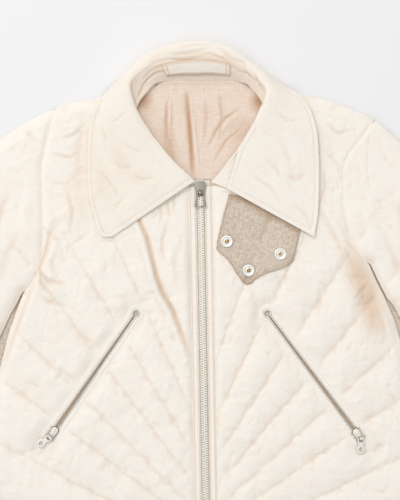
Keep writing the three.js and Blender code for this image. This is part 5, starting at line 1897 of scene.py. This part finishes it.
@dataclass
class Collar:
    """The big pointed collar on its stand, open and lying over the fronts."""

    thick: float = 2.4
    clear: float = 1.0
    topstitch: float = 6.5
    around: int = 240
    tab_lift: float = 2.2
    seam_lap: float = 3.0
    feel: float = 3.0  # how far round a place the cloth under it counts
    neck_out: float = 59.0  # corner of shoulder and neck
    neck_y: float = 292.0
    back_y: float = 290.0  # beyond it the stand is sewn to the back alone
    lifted_y: float = 283.0  # beyond it, and below lifted_z, the fall lies past the body
    lifted_z: float = 12.0
    seam_sunk: float = 30.0  # keeps the edge that lies inside the seam from being rounded
    near: tuple = (0.0, 0.3, 0.8, 1.6, 2.8, 4.2, 5.4, 6.2, 6.9, 7.8, 9.2)
    fall_flat: tuple[float, float] = (0.66, 0.15)
    fall_area: float = 0.052
    stand_flat: tuple[float, float] = (0.46, 0.06)
    stand_area: float = 0.0108
    hanger_u: tuple[float, float] = (0.4666, 0.5765)
    hanger_v: tuple[float, float] = (0.22, 0.7)
    hanger_places: tuple[int, int] = (90, 15)
    hanger_size: tuple[float, float] = (80.0, 16.0)
    hanger_thick: float = 1.2
    hanger_flat: tuple[float, float] = (0.082, 0.017)

    def column(self, pick: Callable, u: Array) -> Array:
        """A curve through one column of the sections."""
        return curve_at([pick(row) for row in COLLAR_ROWS], u, drawn_out=True)

    def support(self, x: Array, y: Array) -> Array:
        """Highest cloth under each place and close round it.

        Args:
            x, y: places in plan.

        Returns:
            Heights in millimetres.
        """
        best = np.zeros_like(x)
        for k in range(9):
            reach, turn = self.feel if k else 0.0, k * math.pi / 4
            px, py = x + reach * math.cos(turn), y + reach * math.sin(turn)
            for side in Side:
                mine = (px < 0) == (side is Side.RIGHT)
                fold = PATTERN[side].fold
                order = np.argsort(np.abs(fold[:, 0]))
                fold_y = np.interp(np.abs(px), np.abs(fold[order, 0]), fold[order, 1])
                held = mine & (py < np.where(np.abs(px) < self.neck_out, self.neck_y, fold_y))
                if held.any():
                    height = CLOTH.upper(px[held], py[held], side, BODY_CREASES)
                    best[held] = np.maximum(best[held], height)
        return best

    def on_cloth(self, points: Array, extra: Array, mask: Array) -> Array:
        """Lifts points clear of the cloth under them.

        Args:
            points: rows by columns by 3.
            extra: height to add.
            mask: which of them lie on the cloth.

        Returns:
            The lifted points.
        """
        out = points.copy()
        flat = points[mask]
        need = self.support(flat[:, 0], flat[:, 1]) + self.clear + self.thick / 2 + extra[mask]
        out[mask, 2] = np.maximum(flat[:, 2], need)
        return out

    def neck_points(self, u: Array) -> Array:
        """The neck seam.

        Args:
            u: shares round the collar.

        Returns:
            One place for each share.
        """
        rows = []
        for row in COLLAR_ROWS:
            x, y = row.neck
            under = INNER_Z + 0.4
            if y < self.back_y:
                under = float(self.support(np.array([float(x)]), np.array([float(y)]))[0]) + self.clear
            rows.append((x, y, under + self.thick / 2))
        return curve_at(rows, u, drawn_out=True)

    def stand_surface(self, u: Array, v: Array) -> Array:
        """Middle surface of the stand.

        Args:
            u: shares round the collar.
            v: shares from the neck up, for each u.

        Returns:
            Rows by columns by 3.
        """
        neck = self.neck_points(u)[:, None]
        top = self.column(lambda r: r.crest if r.fold else (*r.seam[:2], r.seam[2] - 0.4), u)[:, None]
        back = np.clip(self.column(lambda r: (r.back, 0, 0), u)[:, 0], 0, 1)[:, None, None]
        control = lerp(neck, top, lerp(0.95, 0.55, back))
        control[..., 2] = lerp(neck[..., 2], top[..., 2], lerp(0.2, 0.95, back)[..., 0])
        v = v[..., None]
        return (1 - v) ** 2 * neck + 2 * v * (1 - v) * control + v**2 * top

    def fall_start(self, row: CollarRow) -> tuple:
        """Hidden start of the fall, just under the stand's face, so that the two pass into each other.

        Args:
            row: a section of the collar.

        Returns:
            A place with its height.
        """
        x, y, z = row.seam
        if row.fold:
            return (x, y, z)
        inward = unit(np.array([row.neck[0] - x, row.neck[1] - y])) * lerp(-0.35, self.seam_lap, row.back)
        return (x + inward[0], y + inward[1], z - lerp(3.0, 0.8, row.back))

    def fall_surface(self, u: Array, v: Array) -> Array:
        """Middle surface of the fall, lifted clear of the fronts and the tab.

        Args:
            u: shares round the collar.
            v: shares from the seam out, for each u.

        Returns:
            Rows by columns by 3.
        """
        controls = [self.column(pick, u) for pick in (
            self.fall_start,
            lambda r: r.out_of(r.seam, 1.8, 0.3 if r.fold else lerp(1.8, 0.2, r.back)),
            lambda r: r.out_of(r.fold or r.crest, r.bulge, 0.2 * r.lap),
            lambda r: r.out_of(r.edge, r.tuck, 0.0),
            lambda r: r.edge,
        )]
        v = v[..., None]
        points = sum(
            math.comb(4, k) * v**k * (1 - v) ** (4 - k) * at[:, None] for k, at in enumerate(controls)
        )
        rests = (points[..., 1] < self.lifted_y) | (points[..., 2] > self.lifted_z)
        extra = np.where(points[..., 0] > 0, self.tab_lift, 0.0)
        points = self.on_cloth(points, extra, rests)
        points[..., 2] = blurred(points[..., 2], 2)
        return points

    def free_edge(self, u: Array) -> Array:
        """Where the seam of fall and stand lies open, 0 to 1: only on the left front."""
        return np.clip(self.column(lambda r: (1.0 if r.fold else 0.0, 0, 0), u)[:, 0], 0, 1)[:, None]

    def shell(self, points: Array, near: Array, thick: float) -> tuple[Array, Array, Array]:
        """Both faces of a shell round a middle surface, with rounded edges.

        Args:
            points: middle surface.
            near: distance to the nearest edge.
            thick: thickness away from the edges.

        Returns:
            Outer face, inner face and normals.
        """
        normal = normals(points)
        half = normal * thick / 2 * rim(near, thick / 2)[..., None]
        outer, inner = points + half, points - half
        for k in (0, -1):
            outer[k], outer[:, k] = points[k], points[:, k]
        return outer, inner, normal

    def by_arc(self, surface: Callable, u: Array, columns: int) -> tuple[Array, Array, Array]:
        """Places v so that the rows near both long edges keep set distances from them.

        Args:
            surface: middle surface.
            u: shares round the collar.
            columns: places between the near ones.

        Returns:
            v for each place and its distances to the first and the last long edge.
        """
        dense = np.tile(np.linspace(0, 1, 160), (len(u), 1))
        steps = np.linalg.norm(np.diff(surface(u, dense), axis=1), axis=2)
        gone = np.concatenate([np.zeros((len(u), 1)), np.cumsum(steps, 1)], 1)
        at = spaced(gone[:, -1], self.near, columns, reach=0.3)
        v = np.array([np.interp(a, g, dense[0]) for a, g in zip(at, gone)])
        return v, at, gone[:, -1:] - at

    def places_round(self, surface: Callable) -> Array:
        """Shares u round the collar, close together at its ends.

        Args:
            surface: middle surface.

        Returns:
            Shares from 0 to 1.
        """
        dense = np.linspace(0, 1, 400)
        middle = surface(dense, np.full((400, 1), 0.6))[:, 0]
        gone = np.concatenate([[0], np.cumsum(np.linalg.norm(np.diff(middle, axis=0), axis=1))])
        return np.interp(spaced(gone[-1:], self.near, self.around)[0], gone, dense)

    def end_distance(self, points: Array) -> Array:
        """Distance to the nearer front edge of the collar.

        Args:
            points: middle surface.

        Returns:
            One distance for each point.
        """
        flat = points.reshape(-1, 3)
        best = np.full(len(flat), FAR)
        for line in (points[0], points[-1]):
            for a, b in zip(line[:-1], line[1:]):
                way = b - a
                t = np.clip(((flat - a) @ way) / max(way @ way, 1e-9), 0, 1)
                best = np.minimum(best, np.linalg.norm(flat - a - t[:, None] * way, axis=1))
        return best.reshape(points.shape[:2])

    def build_part(self, name: str, surface: Callable, columns: int) -> tuple[Array, Array, Array]:
        """Makes the stand or the fall.

        Args:
            name: stand or fall.
            surface: its middle surface.
            columns: places across between the near ones.

        Returns:
            The outer face, and its distances to the ends and to the long edges.
        """
        fall = name == "fall"
        u = self.places_round(surface)
        v, first, last = self.by_arc(surface, u, columns)
        hidden = (1 - self.free_edge(u)) * self.seam_sunk
        v_near = np.minimum(first + hidden, last) if fall else np.minimum(first, last + hidden)
        points = surface(u, v)
        x, y = points[..., 0], points[..., 1]
        u_near = self.end_distance(points)
        near = np.minimum(u_near, v_near)
        heights, shade = creased(x, y, COLLAR_CREASES)
        wave = heights + 0.8 * CLOTH.rumpled(x + 300, y) * smooth(near / 9)
        sewn = 0.4 * bell(near - self.topstitch, 0.9) * fall
        outer, inner, normal = self.shell(points, near, self.thick)
        shape = smooth(near / 4.0)
        outer = outer + normal * (wave * shape - sewn)[..., None]
        inner = inner + normal * (np.maximum(wave, -0.6) * shape * 0.8)[..., None]
        if fall:
            inside = smooth((y - 262) / 20) * smooth(1.4 - first / 26) + 1.5 * smooth(0.5 - x / 60)
        else:
            inside = smooth((y - 205) / 50)
        # painted shade in hollows and creases and along the topstitching; painted warm shade inside the back
        # of the collar and over the fall on the wearer's right, and a little all over
        tone = np.maximum(np.maximum(0.5 * fold_shade(wave), 0.7 * shade), 0.625 * (sewn > 0.1) * sewn)
        tone = tone + (0.05 if fall else 0.45) * inside + 0.03
        obj = sheet_piece(f"collar_{name}_cloth", Finish.BODY_COTTON.material, outer, inner, tone)
        fix_outward(obj)
        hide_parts(f"collar_{name}")
        return outer, u_near, v_near

    def sew_stand(self, outer: Array) -> None:
        """Rows of stitches along the stand's right end, where it shows.

        Args:
            outer: the outer face.
        """
        sewing, up = Sewing(radius=0.3, thread=Finish.SEAM_THREAD), normals(outer)
        for j in (-6, -12, -17):
            sewing.row(outer[-62:-4, j], up[-62:-4, j])
        sewing.finish("collar_stand_stitches")

    def sew_fall(self, outer: Array, u_near: Array, v_near: Array) -> None:
        """Topstitching round the fall's outer edge and down its front edges.

        Args:
            outer: the outer face.
            u_near, v_near: distances to the ends and to the long edges.
        """
        sewing, up = Sewing(radius=0.24, thread=Finish.SEAM_THREAD), normals(outer)
        rows, columns = outer.shape[:2]
        half = columns // 2
        off_edge, off_end = np.abs(v_near[:, half:] - self.topstitch), np.abs(u_near - self.topstitch)
        line = [
            (i, half + int(np.argmin(off_edge[i]))) for i in range(rows) if u_near[i, -8] >= self.topstitch
        ]
        lines = [line]
        for first, last in ((0, rows // 4), (rows * 3 // 4, rows)):
            line = [(first + int(np.argmin(off_end[first:last, j])), j) for j in range(2, columns)]
            lines.append([(i, j) for i, j in line if v_near[i, j] > self.topstitch or j < half])
        for line in lines:
            i, j = np.array(line).T
            sewing.row(outer[i, j], up[i, j])
        sewing.finish("collar_fall_stitches")

    def hanger(self) -> bpy.types.Object:
        """The loop of self cloth sewn inside the back of the stand.

        Returns:
            The new piece.
        """
        (count, across), (low, high) = self.hanger_places, self.hanger_v
        v = np.tile(np.linspace(low, high, across), (count, 1))
        points = self.stand_surface(np.linspace(*self.hanger_u, count), v)
        share = np.linspace(0, 1, count)[:, None]
        ends = np.sin(np.pi * share)
        wave = 0.7 * np.sin(9 * share + 0.6) * ends + 0.25 * CLOTH.rumple.at(share * 14, v * 4)
        points[..., 1] += 0.6 * wave * ends - 1.6
        points[..., 2] += self.thick / 2 + 1.3 + 1.6 * ends + 0.5 * wave
        long, wide = self.hanger_size
        edge_u = np.minimum(share, 1 - share) * long * np.ones_like(v)
        edge_v = np.minimum(v - low, high - v) / (high - low) * wide
        outer, inner, normal = self.shell(points, np.minimum(edge_u, edge_v), self.hanger_thick)
        dent = normal * 0.25 * bell(edge_v - 1.4, 0.5)[..., None]
        outer, inner = outer - dent, inner - dent
        # painted shade: dark outlines along the loop's edges, at its ends and across its sewn boxes, in its
        # hollows, and a little painted warm shade all over
        outline = bell(edge_v - 0.9, 1.2) + bell(edge_u, 1.5) + bell(edge_u - 5.8, 1.0)
        tone = np.clip(0.14 + outline + fold_shade(wave), 0, 1)
        obj = sheet_piece("hanger_loop_cloth", Finish.BODY_COTTON.material, outer, inner, tone)
        fix_outward(obj)
        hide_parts("hanger_loop")
        face = outer if normal[45, 7, 2] > 0 else inner
        sewing = Sewing(stitch=2.0, gap=0.6, radius=0.26, thread=Finish.SEAM_THREAD)
        for j in (2, 12):
            sewing.row(face[2:-2, j], np.abs(normal[2:-2, j]))
        for i in (3, 7, 82, 86):
            sewing.row(face[i, 2:-2], np.abs(normal[i, 2:-2]))
        sewing.finish("hanger_stitches")
        return obj

    def build(self) -> None:
        """Makes the collar."""
        outer, _, _ = self.build_part("stand", self.stand_surface, 12)
        self.sew_stand(outer)
        self.sew_fall(*self.build_part("fall", self.fall_surface, 30))
        self.hanger()


def normals(points: Array) -> Array:
    """Unit normals of a grid surface."""
    return unit(np.cross(np.gradient(points, axis=0), np.gradient(points, axis=1)))


def blurred(z: Array, passes: int) -> Array:
    """Heights eased with their neighbours, borders kept.

    Args:
        z: heights, rows by columns.
        passes: how often.

    Returns:
        The eased heights.
    """
    for _ in range(passes):
        wide = np.pad(z, 1, mode="edge")
        z = (wide[:-2, 1:-1] + wide[2:, 1:-1] + wide[1:-1, :-2] + wide[1:-1, 2:] + 4 * z) / 8
    return z


def fix_outward(obj: bpy.types.Object) -> None:
    """Turns a closed mesh's faces outward.

    Args:
        obj: the piece.
    """
    bm = bmesh.new()
    bm.from_mesh(obj.data)
    if bm.calc_volume(signed=True) < 0:
        bmesh.ops.reverse_faces(bm, faces=bm.faces)
    bm.to_mesh(obj.data)
    bm.free()


LINING_FOLDS = (
    crease(1.5, 1.7, (-16, 273), (-11, 228), (-7, 196), (-4, 164)),
    crease(-2.3, 3.0, (-20.5, 282), (-17, 240), (-14, 200), (-11.5, 160)),
    crease(1.6, 1.5, (-41.5, 266), (-42.5, 240), (-42, 212)),
    crease(-1.5, 2.0, (-46, 268), (-47, 238), (-46, 204)),
    crease(-1.0, 7.0, (-46, 240), (-43, 210), (-37, 180)),
    crease(-1.4, 1.9, (7.8, 204), (18, 226), (30, 242), (50, 256)),
    crease(1.0, 3.0, (14, 202), (26, 226), (38, 240), (54, 250)),
    crease(-1.1, 1.8, (14, 184), (32, 214), (56, 232)),
    crease(-1.0, 2.2, (22, 276), (26, 246), (22, 216)),
    crease(-0.9, 2.0, (4, 268), (6, 240), (2, 210)),
    crease(-0.7, 1.2, (-60, 279), (0, 280), (56, 278)),
)


@dataclass
class NeckLining:
    """The linen lining of the back, seen through the open neck."""

    low_z: float = 3.05
    face_z: float = 4.9
    face_range: tuple[float, float] = (4.1, 6.6)
    back_start: float = 262.0
    back_y: tuple = (262, 272, 280, 287, 291.5)
    back_right: tuple = (89, 82, 75, 66, 56)
    back_left: tuple = (85, 79, 73, 64, 54)
    # painted shadows in both upper corners and two broad patches
    shadows: tuple = (
        # x, y, reach, depth
        (-79, 266, 14, 1.0), (75, 264, 13, 1.0), (52, 226, 26, 0.42), (-42, 206, 12, 0.36),
    )
    flat_size: tuple[float, float] = (0.19, 0.14)
    flat_area: float = 0.021

    def build(self) -> bpy.types.Object:
        """Makes the lining as rows of constant y.

        Returns:
            The new piece.
        """
        right, left = PATTERN[Side.RIGHT].neckline, PATTERN[Side.LEFT].neckline
        y = np.linspace(146, self.back_y[-1], 150)
        lo = -np.interp(y + 9, right[:, 1], np.abs(right[:, 0])) - 7
        hi = np.interp(y + 9, left[:, 1], np.abs(left[:, 0])) + 7
        lo = np.where(y > self.back_start, -np.interp(y, self.back_y, self.back_right), lo)
        hi = np.where(y > self.back_start, np.interp(y, self.back_y, self.back_left), hi)
        x = lo[:, None] + (hi - lo)[:, None] * np.linspace(0, 1, 130)
        yy = np.broadcast_to(y[:, None], x.shape)
        inside = smooth((284 - yy) / 12) * smooth((yy - 158) / 20)
        heights, shade = creased(x, yy, LINING_FOLDS)
        relief = heights + 0.5 * CLOTH.rumple.at(x / 12 + 3, yy / 40)
        top = np.clip(self.face_z + (0.35 + relief) * inside, *self.face_range)
        under = np.minimum.reduce([CLOTH.inner(CLOTH.closed_edge(x, yy, side)) for side in Side])
        past = np.maximum(np.abs(x) - np.interp(yy, right[:, 1], np.abs(right[:, 0])) + 3, 0)
        top = np.where((past > 0) & (yy > 258), np.minimum(top, under - 0.1), top)
        top = top + 1.2 * smooth((yy - 285) / 5) * (past <= 0)
        edge = np.minimum.reduce([x - lo[:, None], hi[:, None] - x, yy - y[0]])
        upper, lower = two_faces(x, yy, top, np.full(x.shape, self.low_z), np.maximum(edge, 0), 0.8)
        # painted shade in folds and troughs, and a painted highlight on the raised pleats, which are left out
        # of the shade that lies everywhere else
        raised = sum(c.height(x, yy) / c.rise for c in LINING_FOLDS if c.rise > 1.2)
        tone = np.maximum(0.8 * fold_shade(top, 2), 1.2 * shade) * inside
        tone = tone + 0.17 * (1 - np.clip(1.4 * raised, 0, 1))
        for cx, cy, reach, depth in self.shadows:
            tone = np.maximum(tone, depth * bell(np.hypot(x - cx, yy - cy), reach))
        obj = sheet_piece("lining_cloth", Finish.LINING_LINEN.material, upper, lower, tone)
        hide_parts("lining_back")
        return obj


# ---- throat tab ----
@dataclass
class ThroatTab:
    """Heather linen tab under the left collar, double-stitched, with three ring snaps."""

    thick: float = 1.6
    lift: float = 0.6
    rings: int = 30
    places: int = 260
    seams: tuple[float, float] = (2.2, 5.6)  # sewn lines, from the edge
    flat_size: tuple[float, float] = (0.115, 0.118)
    flat_area: float = 0.0094
    outline: tuple = (
        (34.8, 143), (26, 108), (19.2, 76.7), (21.2, 68.4), (33.5, 57.2), (53.3, 28), (63.4, 26.7),
        (69.7, 32.5), (83.2, 39.8), (103.2, 45.9), (114.4, 52), (119.6, 59.8), (126.9, 92.3), (132, 122),
    )
    # the collar's front edge over the tab, whose shadow is painted on it
    collar_edge: tuple = ((30.0, 150.0), (146.0, 85.0))
    snaps: tuple = (("snap_1", 32.4, 81.4), ("snap_2", 101.7, 65.0), ("snap_3", 60.6, 43.7))
    snap_outer: float = 8.2
    snap_inner: float = 2.3
    snap_height: float = 2.4

    def top(self, x: Array, y: Array) -> Array:
        """Height of the tab's face."""
        return CLOTH.upper(x, y, Side.LEFT, BODY_CREASES) + self.lift + self.thick

    def build(self) -> bpy.types.Object:
        """Makes the tab, its stitching and its snaps.

        Returns:
            The cloth's piece.
        """
        line = curve([*self.outline, self.outline[0]], self.places)[:-1]
        centre = line.mean(0)
        reach = np.linalg.norm(line - centre, axis=1).mean()
        near = np.array([0.0, 0.25, 0.7, 1.4, 2.2, 3.0, 3.8, 4.6, 5.6, 7.0])
        share = np.concatenate([1 - near / reach, np.linspace(1 - 9.0 / reach, 0.02, self.rings)])
        plan = centre + (line - centre)[None] * share[:, None, None]
        round_it = np.arange(self.places)
        fray = 0.45 * CLOTH.pucker.at(round_it / 2.3, np.full(self.places, 3.3))
        fray = fray + 0.2 * CLOTH.rumple.at(round_it / 0.9, np.full(self.places, 8.1))
        outward = unit(line - centre)
        plan[:3] += (outward * fray[:, None])[None] * np.array([1.0, 0.8, 0.4])[:, None, None]
        x, y = plan[..., 0], plan[..., 1]
        edge = np.broadcast_to(((1 - share) * reach)[:, None], x.shape)
        top = self.top(x, y)
        sewn = 0.45 * sum(bell(edge - seam, 0.6) for seam in self.seams)
        curl = 0.5 * CLOTH.rumple.at(x / 14, y / 14) * np.exp(-edge / 6)
        tip = bell(x - 60, 14) * bell(y - 30, 8)
        wave = 0.3 * CLOTH.rumple.at(x / 10 + 20, y / 10) - sewn + curl + 0.5 * tip
        half = self.thick / 2 * rim(edge, 0.8)
        upper = np.dstack([x, y, top - self.thick / 2 + half + wave * smooth(edge / 1.2)])
        lower = np.dstack([x, y, top - self.thick / 2 - half])
        mesh = Mesh()
        n, rings = len(line), len(share)
        at = np.arange(rings * n).reshape(rings, n)
        low_at = np.vstack([at[:1], rings * n + np.arange((rings - 1) * n).reshape(rings - 1, n)])
        faces = [quads(np.hstack([k, k[:, :1]]), over) for k, over in ((at, True), (low_at, False))]
        points = np.vstack([upper.reshape(-1, 3), lower[1:].reshape(-1, 3)])
        # darker towards the edge and at the bottom tip, with painted shade in the folds and a painted shadow
        # under the collar's front edge
        under = bell(distance(x, y, np.array(self.collar_edge)), 5.0)
        warm = np.clip(np.exp(-edge / 2.0) * 0.9 + 0.5 * tip + fold_shade(top + wave, 2) + 0.9 * under, 0, 1)
        mesh.add(points, np.vstack(faces), np.concatenate([warm.reshape(-1), warm[1:].reshape(-1)]))
        obj = mesh.build("throat_tab_cloth", Finish.HEATHER_LINEN.material)
        bm = bmesh.new()
        bm.from_mesh(obj.data)
        bm.verts.ensure_lookup_table()
        bmesh.ops.contextual_create(bm, geom=[bm.verts[k] for k in at[-1]])
        bmesh.ops.contextual_create(bm, geom=[bm.verts[k] for k in low_at[-1]])
        bmesh.ops.recalc_face_normals(bm, faces=bm.faces)
        bm.to_mesh(obj.data)
        bm.free()
        obj.data.shade_smooth()
        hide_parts("throat_tab")
        sewing = Sewing(stitch=2.2, gap=0.8, radius=0.22)
        for k in (4, 8):
            loop = np.vstack([upper[k], upper[k][:1]])
            sewing.row(loop, np.tile(UP, (len(loop), 1)))
        sewing.finish("tab_stitches")
        for name, sx, sy in self.snaps:
            self.snap(name, sx, sy)
        return obj

    def snap(self, name: str, sx: float, sy: float) -> None:
        """One spring ring with a brass rivet in its socket.

        Args:
            name: the snap's CAD node.
            sx, sy: its middle in plan.
        """
        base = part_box(name)[0][2] / MM
        outer, inner, height = self.snap_outer, self.snap_inner, self.snap_height
        ring = (
            (inner, 0.0), (outer - 0.5, 0.0), (outer, 0.35), (outer - 0.05, height * 0.5),
            (outer - 0.7, height * 0.86), (outer - 1.7, height), (outer - 2.6, height * 0.9),
            (outer - 3.2, height * 0.62), (inner + 1.9, height * 0.55), (inner + 1.3, height * 0.8),
            (inner + 0.7, height * 0.86), (inner + 0.2, height * 0.7), (inner, height * 0.4),
        )
        rivet = (
            (0.01, 0.75), (0.8, 0.72), (1.4, 0.45), (1.9, 0.3), (inner, 0.25), (inner, 0.05), (0.01, 0.05),
        )
        for part, profile, finish in (("ring", ring, Finish.NICKEL), ("rivet", rivet, Finish.BRASS)):
            turns, n = 64, len(profile)
            angle = np.arange(turns) * 2 * math.pi / turns
            radius, z = np.array(profile).T
            points = np.stack([
                sx + radius * np.cos(angle)[:, None], sy + radius * np.sin(angle)[:, None],
                np.broadcast_to(base + z, (turns, n)),
            ], -1)
            closed = np.pad(np.arange(turns * n).reshape(turns, n), ((0, 1), (0, 1)), mode="wrap")
            mesh = Mesh()
            mesh.add(points, quads(closed, flip=True))
            obj = mesh.build(f"{name}_{part}", finish.material)
            fix_outward(obj)
            obj.data.set_sharp_from_angle(angle=math.radians(45))
            if part == "ring":
                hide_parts(name)


# ---- studio ----
@dataclass
class Studio:
    """Pale floor, soft light from the upper left and a camera straight above."""

    centre: tuple[float, float] = (-0.0026, 0.0702)
    height: float = 1.4
    frame_height: float = 0.650
    cloth_level: float = 0.012
    sensor: float = 36.0
    dome_way: Point = (-0.22, 0.2, 0.95)
    dome_low: float = 0.3
    dome_high: float = 1.18
    key_power: float = 11.5
    key_place: Point = (-0.77, 1.19, 1.9)
    key_size: float = 0.6
    key_colour: Point = (1.0, 0.985, 0.965)
    key_aim: Point = (0.0, 0.05, 0.0)
    room_colour: Colour = (0.985, 0.99, 1.0, 1)
    floor_half: float = 4.0
    floor_z: float = -0.0006

    def build(self) -> None:
        """Makes floor, light and camera."""
        mesh = bpy.data.meshes.new("floor")
        corners = ((-1, -1), (1, -1), (1, 1), (-1, 1))
        half = self.floor_half
        mesh.from_pydata([(a * half, b * half, self.floor_z) for a, b in corners], [], [(0, 1, 2, 3)])
        mesh.materials.append(Finish.PAPER.material)
        floor = bpy.data.objects.new("floor", mesh)
        link(floor)
        world = bpy.data.worlds.new("soft_room")
        world.use_nodes = True
        tree, background = world.node_tree, world.node_tree.nodes["Background"]
        background.inputs["Color"].default_value = self.room_colour
        way = put(tree, "TexCoord", {})
        facing = put(
            tree, "VectorMath", {"operation": "DOT_PRODUCT", 1: unit(np.array(self.dome_way)).tolist()},
            {0: way.outputs["Generated"]},
        )
        dome = put(
            tree, "MapRange", {"To Min": self.dome_low, "To Max": self.dome_high},
            {"Value": facing.outputs["Value"]},
        )
        tree.links.new(dome.outputs["Result"], background.inputs["Strength"])
        bpy.context.scene.world = world
        key = bpy.data.lights.new("soft_key", "AREA")
        key.energy, key.size, key.color = self.key_power, self.key_size, self.key_colour
        lamp = bpy.data.objects.new("soft_key", key)
        lamp.location = self.key_place
        aim = np.array(self.key_aim) - np.array(lamp.location)
        yaw, pitch = math.atan2(aim[1], aim[0]), math.acos(-aim[2] / np.linalg.norm(aim))
        lamp.rotation_euler = (pitch, 0, yaw - math.pi / 2)
        link(lamp)
        camera = bpy.data.cameras.new("camera")
        camera.sensor_width = self.sensor
        camera.lens = self.sensor * self.height / self.frame_height
        camera.clip_start, camera.clip_end = 0.05, 20
        eye = bpy.data.objects.new("camera", camera)
        eye.location = (*self.centre, self.height + self.cloth_level)
        link(eye)
        bpy.context.scene.camera = eye
        bpy.context.scene.view_settings.view_transform = "Standard"


def main() -> None:
    """Builds every sub-assembly in order."""
    logging.basicConfig(level=logging.INFO, format="%(name)s: %(message)s")
    Studio().build()
    Back().build()
    fronts = Fronts()
    for side in Side:
        fronts.build(side)
        Sleeves().build(side)
        Gussets().build(side)
    fronts.sew()
    MainZip().build()
    for side in Side:
        POCKET.build(side)
    NeckLining().build()
    Collar().build()
    ThroatTab().build()
    log.info("size written")


if __name__ == "__main__":
    main()
